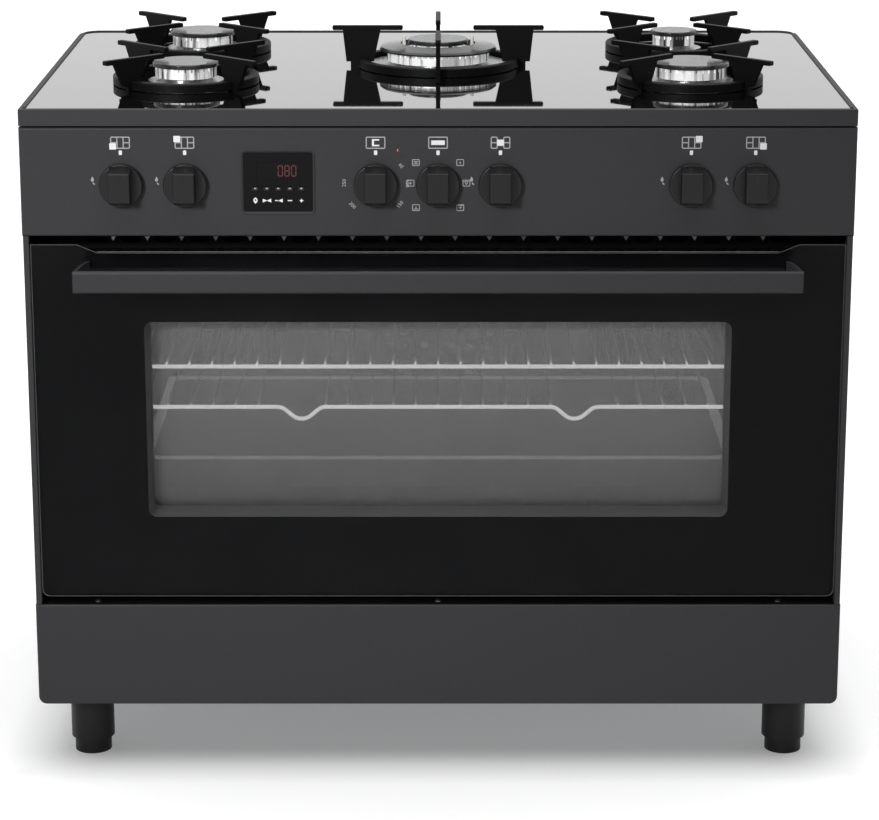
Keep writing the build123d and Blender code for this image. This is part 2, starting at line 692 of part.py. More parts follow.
def burner_probes():
    """A spark electrode and a flame probe at each burner."""
    probes = []
    foot = HOB_TOP + CUP_FLANGE_HEIGHT
    for x, y, cap in SMALL_BURNERS.values():
        ring = PolarLocations(cap + PROBE_OFFSET, 2, start_angle=90 - PROBE_SPREAD,
                              angular_range=2 * PROBE_SPREAD)
        for place in ring:
            probes.append(Pos(x, y, 0) * place * rod_z(0, 0, foot, foot + PROBE_HEIGHT, PROBE_RADIUS))
    x, y = WOK_PLACE
    foot = HOB_TOP + HEAD_LIFT + HEAD_HEIGHT
    for side in (-WOK_PROBE_RADIUS, WOK_PROBE_RADIUS):
        probes.append(rod_z(x + side, y, foot, foot + PROBE_HEIGHT, PROBE_RADIUS))
    return group(probes)


def pan_support(height, tips, plate_top, plate_base, foot, ring, turn):
    """A cast pan support: four upright fingers on a base ring, at rest on the glass."""
    under_bar = height - SUPPORT_BAR
    plate = make_face(Polyline(
        (plate_top[0], under_bar), (plate_base[0], SUPPORT_FOOT), (foot[0], SUPPORT_FOOT), (foot[0], 0),
        (foot[1], 0), (foot[1], SUPPORT_FOOT), (plate_base[1], SUPPORT_FOOT), (plate_top[1], under_bar),
        close=True))
    finger = extrude(Plane.XZ * plate, amount=SUPPORT_PLATE / 2, both=True)
    bar = block(tips[0], tips[1], -SUPPORT_BAR_WIDTH / 2, SUPPORT_BAR_WIDTH / 2, under_bar, height)
    bar = fillet(bar.edges().filter_by(Axis.Y), SUPPORT_BAR / 3)
    finger += bar
    hoop = rod_z(0, 0, SUPPORT_RING_LIFT, SUPPORT_RING_HEIGHT, ring[1])
    hoop -= rod_z(0, 0, SUPPORT_RING_LIFT, SUPPORT_RING_HEIGHT, ring[0])
    hoop = fillet(hoop.edges().group_by(Axis.Z)[-1], SUPPORT_BAR / 3)
    return hoop + [Rot(0, 0, turn + 90 * i) * finger for i in range(4)]


def small_support(x, y):
    """A pan support with its fingers on the diagonals."""
    shape = pan_support(SMALL_SUPPORT_HEIGHT, (SMALL_INNER_TIP, SMALL_TIP_RADIUS), SMALL_PLATE_TOP,
                        SMALL_PLATE_BASE, SMALL_FOOT, SMALL_RING, 45)
    return Pos(x, y, HOB_TOP) * shape


def wok_support():
    """The centre pan support, with its fingers square to the hob."""
    shape = pan_support(WOK_SUPPORT_HEIGHT, (WOK_INNER_TIP, WOK_TIP_RADIUS), WOK_PLATE_TOP,
                        WOK_PLATE_BASE, WOK_FOOT, WOK_RING, 0)
    return Pos(*WOK_PLACE, HOB_TOP) * shape


def spindle_cut(fit):
    """The flat that keys a knob to its spindle."""
    level = SPINDLE_FLAT + fit
    wide = SPINDLE_RADIUS + SEAT_FIT
    return level, wide


def spindle(x):
    """A tap spindle with a flat at its front end."""
    back = FRONT + TAP_FRONT + SPINDLE_GRIP
    front = FRONT - SPINDLE_FRONT
    level, wide = spindle_cut(0)
    shape = rod_y(x, front, back, KNOB_Z, SPINDLE_RADIUS)
    return shape - block(x - wide, x + wide, front, FRONT + SHEET, KNOB_Z + level, KNOB_Z + wide)


def knob_body(x):
    """A round skirt with a raised grip bar."""
    skirt_back = FRONT - KNOB_GAP
    skirt_front = skirt_back - KNOB_SKIRT
    face = skirt_front - KNOB_GRIP_DEPTH
    skirt = rod_y(x, skirt_front, skirt_back, KNOB_Z, KNOB_RADIUS)
    skirt = fillet(skirt.edges().group_by(Axis.Y)[0], KNOB_ROUND)
    side = make_face(Polyline(
        (skirt_front, KNOB_Z - KNOB_GRIP_BASE / 2), (skirt_front, KNOB_Z + KNOB_GRIP_BASE / 2),
        (face, KNOB_Z + KNOB_GRIP_FACE / 2), (face, KNOB_Z - KNOB_GRIP_FACE / 2), close=True))
    grip = side_plate(side, x - KNOB_GRIP_WIDTH / 2, x + KNOB_GRIP_WIDTH / 2)
    grip = fillet(grip.faces().sort_by(Axis.Y)[0].edges(), KNOB_ROUND)
    return skirt + grip


def gas_knob(x):
    """A knob with a keyed socket that leaves room for the push."""
    socket_back = FRONT - KNOB_GAP
    socket_front = FRONT - SPINDLE_FRONT - KNOB_PUSH - SEAT_FIT
    level, wide = spindle_cut(RUN_FIT)
    socket = rod_y(x, socket_front, socket_back, KNOB_Z, SPINDLE_RADIUS + RUN_FIT)
    socket -= block(x - wide, x + wide, socket_front, socket_back, KNOB_Z + level, KNOB_Z + 2 * wide)
    return knob_body(x) - socket


def oven_knob(x):
    """A knob with its stem in one piece."""
    return knob_body(x) + rod_y(x, FRONT - KNOB_GAP - KNOB_SKIRT, FRONT + SHEET + SWITCH_NOSE + SPINDLE_GRIP,
                                KNOB_Z, SPINDLE_RADIUS)


def gas_taps():
    """Gas taps on the rail, each with a bored nose for its spindle."""
    taps = []
    front = FRONT + TAP_FRONT
    for x in GAS_KNOBS.values():
        body_front = front + TAP_NOSE
        body = block(x - TAP_WIDTH / 2, x + TAP_WIDTH / 2, body_front, body_front + TAP_LENGTH,
                     KNOB_Z - TAP_HEIGHT / 2, KNOB_Z + TAP_HEIGHT / 2)
        body += rod_y(x, front, body_front, KNOB_Z, TAP_NOSE_RADIUS)
        bore = rod_y(x, front, front + SPINDLE_GRIP + KNOB_PUSH, KNOB_Z, SPINDLE_RADIUS + RUN_FIT)
        taps.append(body - bore)
    return group(taps)


def oven_switches():
    """Thermostat and function switch on the back of the fascia."""
    switches = []
    nose = FRONT + SHEET
    front = nose + SWITCH_NOSE
    half = SWITCH_SIZE / 2
    for x in OVEN_KNOBS.values():
        body = block(x - half, x + half, front, front + SWITCH_LENGTH, KNOB_Z - half, KNOB_Z + half)
        body += rod_y(x, nose, front, KNOB_Z, TAP_NOSE_RADIUS)
        bore = rod_y(x, nose, front + SPINDLE_GRIP + SEAT_FIT, KNOB_Z, SPINDLE_RADIUS + RUN_FIT)
        switches.append(body - bore)
    return group(switches)


def gas_pipework():
    """Gas rail under the taps, the inlet pipe at the back and a pipe to each burner."""
    rail = block(-SIDE_INNER, SIDE_INNER, RAIL_FRONT, RAIL_FRONT + GAS_RAIL, RAIL_Z - GAS_RAIL / 2, RAIL_TOP)
    inlet_back = BACK - INLET_SETBACK
    rail += rod_y(INLET_X, RAIL_FRONT + GAS_RAIL, inlet_back - INLET_LENGTH, RAIL_Z, INLET_PIPE_RADIUS)
    rail += rod_y(INLET_X, inlet_back - INLET_LENGTH, inlet_back, RAIL_Z, INLET_RADIUS)
    places = {name: (x, y) for name, (x, y, cap) in SMALL_BURNERS.items()}
    places["centre"] = WOK_PLACE
    pipes = []
    for name, tap_x in GAS_KNOBS.items():
        x, y = places[name]
        x += PIPE_OFFSET if tap_x > 0 else -PIPE_OFFSET
        route = [(tap_x, TAP_BACK, KNOB_Z), (tap_x, TAP_BACK + 2 * PIPE_BEND, KNOB_Z),
                 (x, y, KNOB_Z), (x, y, HOB_TOP - CUP_DEPTH)]
        pipes.append(tube(route, PIPE_BEND, PIPE_RADIUS))
    return group([rail] + pipes)


def button_places():
    """Middle of each timer button along the fascia."""
    first = TIMER_X - BUTTON_PITCH * (BUTTON_COUNT - 1) / 2
    return [first + i * BUTTON_PITCH for i in range(BUTTON_COUNT)]


def timer_case():
    """Hollow timer case in the fascia, with a display recess and button holes."""
    back = TIMER_FACE + TIMER_DEPTH
    wide = TIMER_WIDTH - 2 * EASY_FIT
    tall = TIMER_HEIGHT - 2 * EASY_FIT
    middle = Pos(TIMER_X, PANEL_MID)
    case = front_plate(middle * RectangleRounded(wide, tall, TIMER_CORNER - EASY_FIT), TIMER_FACE, back)
    case += front_plate(middle * RectangleRounded(wide + 2 * TIMER_EAR, tall + 2 * TIMER_EAR, TIMER_CORNER),
                        FRONT + SHEET, FRONT + SHEET + TIMER_WALL)
    case -= front_plate(middle * Rectangle(wide - 2 * TIMER_WALL, tall - 2 * TIMER_WALL),
                        TIMER_FACE + TIMER_WALL, back - TIMER_WALL)
    case -= front_plate(Pos(TIMER_X, PANEL_MID + DISPLAY_RISE) * Rectangle(DISPLAY_WIDTH, DISPLAY_HEIGHT),
                        TIMER_FACE, TIMER_FACE + DISPLAY_SINK)
    hole = RectangleRounded(BUTTON_WIDTH + 2 * BUTTON_FIT, BUTTON_HEIGHT + 2 * BUTTON_FIT,
                            BUTTON_ROUND + BUTTON_FIT)
    return case - [front_plate(Pos(x, BUTTON_Z) * hole, TIMER_FACE, TIMER_FACE + TIMER_WALL)
                   for x in button_places()]


def timer_button(x):
    """A small push button with a collar behind the case front."""
    front = TIMER_FACE - BUTTON_PROUD
    collar = TIMER_FACE + TIMER_WALL + BUTTON_FIT
    place = Pos(x, BUTTON_Z)
    cap = place * RectangleRounded(BUTTON_WIDTH, BUTTON_HEIGHT, BUTTON_ROUND)
    rim = place * Rectangle(BUTTON_WIDTH + 2 * BUTTON_COLLAR, BUTTON_HEIGHT + 2 * BUTTON_COLLAR)
    return (front_plate(cap, front, front + BUTTON_LENGTH)
            + front_plate(rim, collar, collar + BUTTON_COLLAR))


def terminal_box():
    """Mains terminal box on the rear panel, with a cable gland below."""
    half = TERMINAL_WIDTH / 2
    top = TERMINAL_Z + TERMINAL_HEIGHT / 2
    bottom = TERMINAL_Z - TERMINAL_HEIGHT / 2
    back = REAR_OUTER + TERMINAL_DEPTH
    box = block(TERMINAL_X - half, TERMINAL_X + half, REAR_OUTER, back, bottom, top)
    middle = (REAR_OUTER + back) / 2
    box += rod_z(TERMINAL_X, middle, bottom - GLAND_LENGTH, bottom, GLAND_RADIUS)
    box -= block(TERMINAL_X - half + TERMINAL_WALL, TERMINAL_X + half - TERMINAL_WALL,
                 REAR_OUTER + TERMINAL_WALL, back - TERMINAL_WALL,
                 bottom + TERMINAL_WALL, top - TERMINAL_WALL)
    return box - rod_z(TERMINAL_X, middle, bottom - GLAND_LENGTH, bottom + TERMINAL_WALL, CABLE_RADIUS)


def oven_cavity():
    """Enamelled oven box with a front flange and pressed shelf ledges."""
    box = front_plate(mouth_sketch(SHEET), FRAME_BACK, CAVITY_REAR_OUTER)
    box += front_plate(mouth_sketch(CAVITY_FLANGE), FRAME_BACK, FRAME_BACK + SHEET)
    box -= front_plate(mouth_sketch(0), FRAME_BACK, CAVITY_BACK)
    back = CAVITY_BACK - BAFFLE_DEPTH
    for level in SHELF_LEVELS:
        top = CAVITY_FLOOR + level
        for side in (-1, 1):
            inner, outer = sorted((side * (CAVITY_HALF - LEDGE_WIDTH), side * CAVITY_HALF))
            box += block(inner, outer, FRAME_BACK + LEDGE_MARGIN, back, top - LEDGE_HEIGHT, top)
    box -= rod_y(0, CAVITY_BACK, CAVITY_REAR_OUTER, CAVITY_MID, MOTOR_BOSS_RADIUS)
    for x in (-LAMP_X, LAMP_X):
        box -= rod_y(x, CAVITY_BACK, CAVITY_REAR_OUTER, LAMP_Z, LAMP_BODY_RADIUS + EASY_FIT)
    return box


def oven_insulation():
    """Mineral wool round the oven box, open at the front."""
    front = FRAME_BACK + SHEET
    back = CAVITY_REAR_OUTER + INSULATION
    blanket = front_plate(mouth_sketch(SHEET + INSULATION), front, back)
    blanket -= front_plate(mouth_sketch(SHEET), front, CAVITY_REAR_OUTER)
    blanket -= rod_y(0, CAVITY_REAR_OUTER, back, CAVITY_MID, MOTOR_RADIUS + SEAT_FIT)
    for x in (-LAMP_X, LAMP_X):
        blanket -= rod_y(x, CAVITY_REAR_OUTER, back, LAMP_Z, LAMP_BODY_RADIUS + SEAT_FIT)
    return blanket


def shelf_wires(level, skipped):
    """Thin wires from front to back, apart from those over a skipped stretch."""
    return [rod_y(x, SHELF_FRONT, SHELF_BACK, level, WIRE_RADIUS) for x in spread(WIRE_END, WIRE_COUNT)
            if all(abs(x - middle) > width / 2 + RAIL_RADIUS for middle, width in skipped)]


def wire_shelf():
    """Flat wire shelf on the highest ledges in use."""
    z = CAVITY_FLOOR + SHELF_LEVELS[3] + RAIL_RADIUS
    loop = Pos(0, (SHELF_FRONT + SHELF_BACK) / 2, z) * RectangleRounded(
        2 * SHELF_HALF, SHELF_BACK - SHELF_FRONT, SHELF_CORNER)
    return bar_along(loop.wire(), RAIL_RADIUS) + shelf_wires(z + RAIL_RADIUS + WIRE_RADIUS - WIRE_SINK, [])


def notched_shelf():
    """Wire shelf whose front rail dips in two places, with its wires level with the rail."""
    z = CAVITY_FLOOR + SHELF_LEVELS[2] + RAIL_RADIUS
    dips = [(middle + across, SHELF_FRONT, z - drop) for middle in (-NOTCH_X, NOTCH_X)
            for across, drop in ((-NOTCH_WIDTH / 2, 0), (-NOTCH_FLAT / 2, NOTCH_DEPTH),
                                 (NOTCH_FLAT / 2, NOTCH_DEPTH), (NOTCH_WIDTH / 2, 0))]
    corners = [(SHELF_HALF, SHELF_FRONT, z), (SHELF_HALF, SHELF_BACK, z),
               (-SHELF_HALF, SHELF_BACK, z), (-SHELF_HALF, SHELF_FRONT, z)]
    bends = [NOTCH_ROUND] * len(dips) + [SHELF_CORNER] * len(corners)
    loop = FilletPolyline(*dips, *corners, radius=bends, close=True)
    return bar_along(loop, RAIL_RADIUS) + shelf_wires(z, [(-NOTCH_X, NOTCH_WIDTH), (NOTCH_X, NOTCH_WIDTH)])


def baking_tray():
    """Baking tray that hangs on its ledges by the rim."""
    top = CAVITY_FLOOR + SHELF_LEVELS[1]
    half = CAVITY_HALF - SHELF_SIDE_GAP
    front = SHELF_FRONT - RAIL_RADIUS
    back = SHELF_BACK + RAIL_RADIUS
    middle = Pos(0, (front + back) / 2)
    rim = middle * RectangleRounded(2 * half, back - front, TRAY_CORNER)
    well = half - LEDGE_WIDTH
    wide = 2 * well
    deep = back - front - 2 * TRAY_RIM
    outer = middle * RectangleRounded(wide, deep, TRAY_CORNER)
    inner = middle * RectangleRounded(wide - 2 * TRAY_WALL, deep - 2 * TRAY_WALL, TRAY_CORNER - TRAY_WALL)
    tray = extrude(Pos(0, 0, top) * rim, amount=TRAY_WALL)
    tray += extrude(Pos(0, 0, top - TRAY_DEPTH) * outer, amount=TRAY_DEPTH)
    return tray - extrude(Pos(0, 0, top - TRAY_DEPTH + TRAY_WALL) * inner, amount=TRAY_DEPTH)


def heating_elements():
    """Grill element under the roof and ring element round the fan."""
    z = CAVITY_TOP - GRILL_DROP
    front = FRAME_BACK + GRILL_FRONT_GAP
    rear = CAVITY_BACK - BAFFLE_DEPTH - SHELF_BACK_GAP - GRILL_BEND
    runs = spread(GRILL_END, GRILL_RUNS)
    route = [(runs[0], CAVITY_BACK, z)]
    for i in range(GRILL_RUNS - 1):
        end = front if i % 2 == 0 else rear
        route += [(runs[i], end, z), (runs[i + 1], end, z)]
    route.append((runs[-1], CAVITY_BACK, z))
    grill = tube(route, GRILL_BEND, ELEMENT_RADIUS)
    ring_y = CAVITY_BACK - BAFFLE_DEPTH / 2
    ring = Pos(0, ring_y, CAVITY_MID) * Rot(90, 0, 0) * Torus(RING_ELEMENT_RADIUS, ELEMENT_RADIUS)
    rise = (RING_ELEMENT_RADIUS ** 2 - RING_LEG_SPREAD ** 2) ** 0.5
    for x in (-RING_LEG_SPREAD, RING_LEG_SPREAD):
        lug = Box(ELEMENT_LUG, CAVITY_BACK - ring_y, ELEMENT_LUG)
        ring += Pos(x, (ring_y + CAVITY_BACK) / 2, CAVITY_MID + rise) * lug
    return group([grill, ring])


def fan_baffle():
    """Perforated cover over the fan."""
    half = BAFFLE_WIDTH / 2
    low = CAVITY_MID - BAFFLE_HEIGHT / 2
    high = CAVITY_MID + BAFFLE_HEIGHT / 2
    front = CAVITY_BACK - BAFFLE_DEPTH
    cover = block(-half, half, front, CAVITY_BACK, low, high)
    cover -= block(-half + BAFFLE_SHEET, half - BAFFLE_SHEET, front + BAFFLE_SHEET, CAVITY_BACK,
                   low + BAFFLE_SHEET, high - BAFFLE_SHEET)
    holes = [Pos(0, CAVITY_MID) * place * Circle(BAFFLE_HOLE_RADIUS)
             for radius, count in zip(BAFFLE_RING_RADII, BAFFLE_RING_COUNTS)
             for place in PolarLocations(radius, count)]
    return cover - [front_plate(hole, front, front + BAFFLE_SHEET) for hole in holes]


def convection_fan():
    """Radial fan wheel with its shaft."""
    back = CAVITY_BACK - FAN_GAP
    front = back - FAN_HEIGHT
    wheel = rod_y(0, back - FAN_DISC, back, CAVITY_MID, FAN_RADIUS)
    wheel += rod_y(0, front, back, CAVITY_MID, FAN_HUB_RADIUS)
    blade = block(FAN_BLADE_ROOT, FAN_RADIUS, front, back - FAN_DISC, -FAN_DISC / 2, FAN_DISC / 2)
    wheel += [Pos(0, 0, CAVITY_MID) * Rot(0, 360 * i / FAN_BLADES, 0) * blade for i in range(FAN_BLADES)]
    return wheel + rod_y(0, front, CAVITY_REAR_OUTER + SHAFT_GRIP, CAVITY_MID, SHAFT_RADIUS)


def fan_motor():
    """Fan motor on the back of the oven box."""
    body = rod_y(0, CAVITY_REAR_OUTER, CAVITY_REAR_OUTER + MOTOR_LENGTH, CAVITY_MID, MOTOR_RADIUS)
    return body - rod_y(0, CAVITY_REAR_OUTER, CAVITY_REAR_OUTER + SHAFT_GRIP + SEAT_FIT, CAVITY_MID,
                        SHAFT_RADIUS + RUN_FIT)


def oven_lamps():
    """Two oven lamps in the rear wall."""
    lamps = []
    for x in (-LAMP_X, LAMP_X):
        cover = rod_y(x, CAVITY_BACK - LAMP_COVER_HEIGHT, CAVITY_BACK, LAMP_Z, LAMP_COVER_RADIUS)
        cover = fillet(cover.edges().group_by(Axis.Y)[0], LAMP_COVER_HEIGHT / 2)
        lamps.append(cover + rod_y(x, CAVITY_BACK, CAVITY_BACK + LAMP_BODY_LENGTH, LAMP_Z, LAMP_BODY_RADIUS))
    return group(lamps)


def door_gasket():
    """Seal over the top and sides of the oven mouth, clear of the door's lower edge as it swings."""
    reach = GASKET_MARGIN + GASKET_WIDTH
    seal = front_plate(mouth_sketch(reach) - mouth_sketch(GASKET_MARGIN), DOOR_BACK + EASY_FIT, FRAME_FACE)
    half = CAVITY_HALF + reach
    return seal - block(-half, half, DOOR_BACK, FRAME_FACE, DOOR_BOTTOM, HINGE_Z + DOOR_SWEEP + SEAT_FIT)


def door_outer_glass():
    """Front glass of the door, with a shallow notch along its top edge."""
    notch_out = DOOR_HALF - TOP_NOTCH_END
    notch_in = notch_out - TOP_NOTCH_SLOPE
    low = DOOR_TOP - TOP_NOTCH_DROP
    sketch = make_face(Polyline(
        (-DOOR_HALF, DOOR_BOTTOM), (DOOR_HALF, DOOR_BOTTOM), (DOOR_HALF, DOOR_TOP), (notch_out, DOOR_TOP),
        (notch_in, low), (-notch_in, low), (-notch_out, DOOR_TOP), (-DOOR_HALF, DOOR_TOP), close=True))
    pane = front_plate(round_lower(sketch, DOOR_CORNER), DOOR_FACE, GLASS_BACK)
    return chamfer(pane.faces().sort_by(Axis.Y)[0].edges(), GLASS_CHAMFER)


def window_sketch(grow):
    """Outline of the door window, grown outwards by an even margin."""
    return panel_sketch(-WINDOW_HALF - grow, WINDOW_HALF + grow, WINDOW_BOTTOM - grow, WINDOW_TOP + grow,
                        WINDOW_CORNER)


def door_frame():
    """Hollow steel frame behind the front glass, with a lined window and slots for the hinges."""
    half = DOOR_FRAME_HALF
    low = DOOR_BOTTOM + DOOR_FRAME_INSET
    high = DOOR_TOP - TOP_NOTCH_DROP - DOOR_FRAME_INSET
    rear = DOOR_BACK - DOOR_SHEET
    shell = block(-half, half, GLASS_BACK, DOOR_BACK, low, high)
    shell -= block(-half + DOOR_SHEET, half - DOOR_SHEET, GLASS_BACK, rear,
                   low + DOOR_SHEET, high - DOOR_SHEET)
    shell += front_plate(window_sketch(WINDOW_WALL_GAP + DOOR_SHEET), GLASS_BACK, rear)
    shell -= front_plate(window_sketch(WINDOW_WALL_GAP), GLASS_BACK, rear)
    shell -= front_plate(window_sketch(-WINDOW_LIP), rear, DOOR_BACK)
    wide = HINGE_PLATE / 2 + EASY_FIT + HINGE_CHEEK + EASY_FIT
    reach = HINGE_EYE_RADIUS + SEAT_FIT
    for x in (-HINGE_X, HINGE_X):
        shell -= block(x - wide, x + wide, HINGE_Y - reach, DOOR_BACK, low, HINGE_Z + reach)
    return shell


def door_inner_glass():
    """Inner pane inside the window lining, against the rear lip."""
    rear = DOOR_BACK - DOOR_SHEET
    return front_plate(window_sketch(WINDOW_WALL_GAP - EASY_FIT), rear - INNER_GLASS, rear)


def hinge_arm(x):
    """Door half of a hinge: two bored cheeks on a web behind the front glass."""
    inner = HINGE_PLATE / 2 + EASY_FIT
    outer = inner + HINGE_CHEEK
    web_back = HINGE_Y - HINGE_EYE_RADIUS - SEAT_FIT
    low = HINGE_Z - HINGE_CHEEK_BELOW
    high = HINGE_Z + HINGE_CHEEK_ABOVE
    arm = block(x - outer, x + outer, web_back - HINGE_WEB, web_back, low, high)
    for x0, x1 in ((x - outer, x - inner), (x + inner, x + outer)):
        arm += block(x0, x1, web_back, HINGE_Y + HINGE_EYE_RADIUS, low, high)
    foot_z = high - HINGE_CHEEK_BELOW
    arm += block(x - outer, x + outer, GLASS_BACK, web_back - HINGE_WEB, foot_z, high)
    arm += block(x - outer, x + outer, HINGE_Y + HINGE_EYE_RADIUS, DOOR_BACK - DOOR_SHEET, foot_z, high)
    return arm - rod_x(x - outer, x + outer, HINGE_Y, HINGE_Z, HINGE_PIN_RADIUS + RUN_FIT)


def hinge_bracket(x):
    """Carcass half of a hinge: a plate through the front frame, with the pin at its eye."""
    half = HINGE_PLATE / 2
    cheek = half + EASY_FIT + HINGE_CHEEK
    side = half + HINGE_BASE_REACH
    plate = block(x - half, x + half, HINGE_Y, FRAME_BACK + HINGE_BASE, HINGE_Z - HINGE_EYE_RADIUS,
                  HINGE_Z + HINGE_EYE_RADIUS)
    plate += rod_x(x - half, x + half, HINGE_Y, HINGE_Z, HINGE_EYE_RADIUS)
    plate += rod_x(x - cheek, x + cheek, HINGE_Y, HINGE_Z, HINGE_PIN_RADIUS)
    tall = HINGE_EYE_RADIUS + HINGE_BASE_REACH
    return plate + block(x - side, x + side, FRAME_BACK, FRAME_BACK + HINGE_BASE,
                         HINGE_Z - tall, HINGE_Z + tall)


def door_handle():
    """Flat handle bar in front of the door."""
    low = HANDLE_Z - HANDLE_HEIGHT / 2
    high = HANDLE_Z + HANDLE_HEIGHT / 2
    bar = block(-HANDLE_HALF, HANDLE_HALF, HANDLE_FRONT, HANDLE_BACK, low, high)
    return fillet(bar.edges().filter_by(Axis.X), HANDLE_ROUND)


def handle_arm():
    """One bowed arm between the door glass and an end of the bar."""
    bar_x = HANDLE_HALF
    door_x = bar_x - HANDLE_ARM_LEAN
    middle_x = (bar_x + door_x) / 2 + HANDLE_ARM_BOW
    middle_y = (HANDLE_BACK + DOOR_FACE) / 2
    outside = ThreePointArc((bar_x, HANDLE_BACK), (middle_x, middle_y), (door_x, DOOR_FACE))
    inside = ThreePointArc((door_x - HANDLE_ARM, DOOR_FACE), (middle_x - HANDLE_ARM, middle_y),
                           (bar_x - HANDLE_ARM, HANDLE_BACK))
    ends = [Line(outside @ 1, inside @ 0), Line(inside @ 1, outside @ 0)]
    face = make_face([outside, ends[0], inside, ends[1]])
    return extrude(Pos(0, 0, HANDLE_Z - HANDLE_ARM_HEIGHT / 2) * face, amount=HANDLE_ARM_HEIGHT)


NODES = {
    "side_panels": side_panels(),
    "rear_panel": rear_panel(),
    "base_panel": base_panel(),
    "front_frame": front_frame(),
    "plinth_panel": plinth_panel(),
    "plinth_screws": plinth_screws(),
    "control_panel": control_panel(),
    "legs": legs(),
    "feet": feet(),
    "hob_tray": hob_tray(),
    "hob_glass": hob_glass(),
    "burner_cups": burner_cups(),
    "burner_heads": burner_heads(),
    "burner_caps": burner_caps(),
    "burner_probes": burner_probes(),
    "gas_taps": gas_taps(),
    "oven_switches": oven_switches(),
    "gas_pipework": gas_pipework(),
    "timer_case": timer_case(),
    "terminal_box": terminal_box(),
    "oven_cavity": oven_cavity(),
    "oven_insulation": oven_insulation(),
    "wire_shelf": wire_shelf(),
    "notched_shelf": notched_shelf(),
    "baking_tray": baking_tray(),
    "heating_elements": heating_elements(),
    "fan_baffle": fan_baffle(),
    "convection_fan": convection_fan(),
    "fan_motor": fan_motor(),
    "oven_lamps": oven_lamps(),
    "door_gasket": door_gasket(),
    "hinge_brackets": both_sides(hinge_bracket(HINGE_X)),
    "door_outer_glass": door_outer_glass(),
    "door_inner_glass": door_inner_glass(),
    "door_frame": door_frame(),
    "door_hinge_arms": both_sides(hinge_arm(HINGE_X)),
    "door_handle": door_handle(),
    "handle_arms": both_sides(handle_arm()),
    "pan_support_centre": wok_support(),
}
for name, (x, y, cap) in SMALL_BURNERS.items():
    NODES["pan_support_" + name] = small_support(x, y)
for name, x in GAS_KNOBS.items():
    NODES["spindle_" + name] = spindle(x)
    NODES["knob_" + name] = gas_knob(x)
for name, x in OVEN_KNOBS.items():
    NODES["knob_" + name] = oven_knob(x)
for number, x in enumerate(button_places(), start=1):
    NODES[f"timer_button_{number}"] = timer_button(x)

os.makedirs("parts", exist_ok=True)
for name, shape in NODES.items():
    export_step(shape, f"parts/{name}.step")
print(len(NODES), "nodes, front at", FRONT, "hob top at", HOB_TOP)
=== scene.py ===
import fnmatch
import logging
import math
from dataclasses import dataclass
from enum import Enum

import bmesh
import bpy
from bmesh.types import BMesh, BMFace, BMVert
from bpy.types import Material, Mesh, Node, NodeSocket, NodeTree, Object
from mathutils import Matrix, Vector


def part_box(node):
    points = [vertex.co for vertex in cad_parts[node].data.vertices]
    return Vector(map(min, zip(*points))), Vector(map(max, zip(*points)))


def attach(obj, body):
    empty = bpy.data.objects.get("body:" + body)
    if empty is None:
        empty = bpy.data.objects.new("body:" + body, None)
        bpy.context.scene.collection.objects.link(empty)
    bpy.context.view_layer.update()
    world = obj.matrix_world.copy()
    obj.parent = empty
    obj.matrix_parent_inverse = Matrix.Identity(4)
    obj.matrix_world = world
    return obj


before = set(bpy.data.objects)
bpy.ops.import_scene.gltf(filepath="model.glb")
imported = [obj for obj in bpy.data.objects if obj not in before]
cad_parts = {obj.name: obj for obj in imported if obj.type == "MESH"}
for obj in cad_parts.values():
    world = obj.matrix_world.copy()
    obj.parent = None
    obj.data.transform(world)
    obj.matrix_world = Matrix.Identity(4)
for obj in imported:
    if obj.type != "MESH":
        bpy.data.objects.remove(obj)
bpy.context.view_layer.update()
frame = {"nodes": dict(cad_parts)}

log = logging.getLogger("range_cooker")

MM = 0.001
# Half the thickness of printed numbers, in millimetres.
TYPE_HALF = 0.06
Point = tuple[float, float]
Loop = list[Point]
Shape = list[Loop]
Triple = tuple[float, float, float]
Line = tuple[float, float, float, float]
Fade = tuple[str, float, float, str]


# Nodes and colours


def linear(code: str) -> tuple[float, float, float, float]:
    """Turns an sRGB hex colour to the linear colour that a shader takes.

    Args:
        code: the colour as "#rrggbb".

    Returns:
        Red, green, blue and a full alpha.
    """
    parts = [int(code[i:i + 2], 16) / 255 for i in (1, 3, 5)]
    red, green, blue = (c / 12.92 if c <= 0.04045 else ((c + 0.055) / 1.055) ** 2.4 for c in parts)
    return red, green, blue, 1.0


def add(tree: NodeTree, kind: str, sockets: dict | None = None, **settings: object) -> Node:
    """Adds one node with its settings and links.

    Args:
        tree: the tree.
        kind: the node's type name.
        sockets: each input's name or number, with a value or another node's output.
        settings: attributes of the node itself.

    Returns:
        The new node.
    """
    node = tree.nodes.new(kind)
    for name, value in settings.items():
        setattr(node, name, value)
    for key, value in (sockets or {}).items():
        if isinstance(value, NodeSocket):
            tree.links.new(value, node.inputs[key])
        else:
            node.inputs[key].default_value = value
    return node


def out(tree: NodeTree, kind: str, sockets: dict | None = None, **settings: object) -> NodeSocket:
    """Adds one node, as add does, and gives its first output."""
    return add(tree, kind, sockets, **settings).outputs[0]


def bare_tree(name: str) -> tuple[Material, NodeTree]:
    """Makes a material whose tree is still empty.

    Args:
        name: the material's name.

    Returns:
        The material and its tree.
    """
    material = bpy.data.materials.new(name)
    material.use_nodes = True
    material.node_tree.nodes.clear()
    return material, material.node_tree


# Finishes


# Where a speck ends and where it is full, in cells from its middle.
SPECK_EDGE = (0.24, 0.12)
# Octaves of detail in soft lumps.
LUMP_DETAIL = 3.0


class Surface(Enum):
    """What the making of a surface leaves on it."""

    CLOUDS = "soft lumps, as spray, fired enamel or moulding leave"
    CELLS = "flat crystals, as hot-dip zinc leaves"
    SPECKS = "pale specks fired into a dark ground"


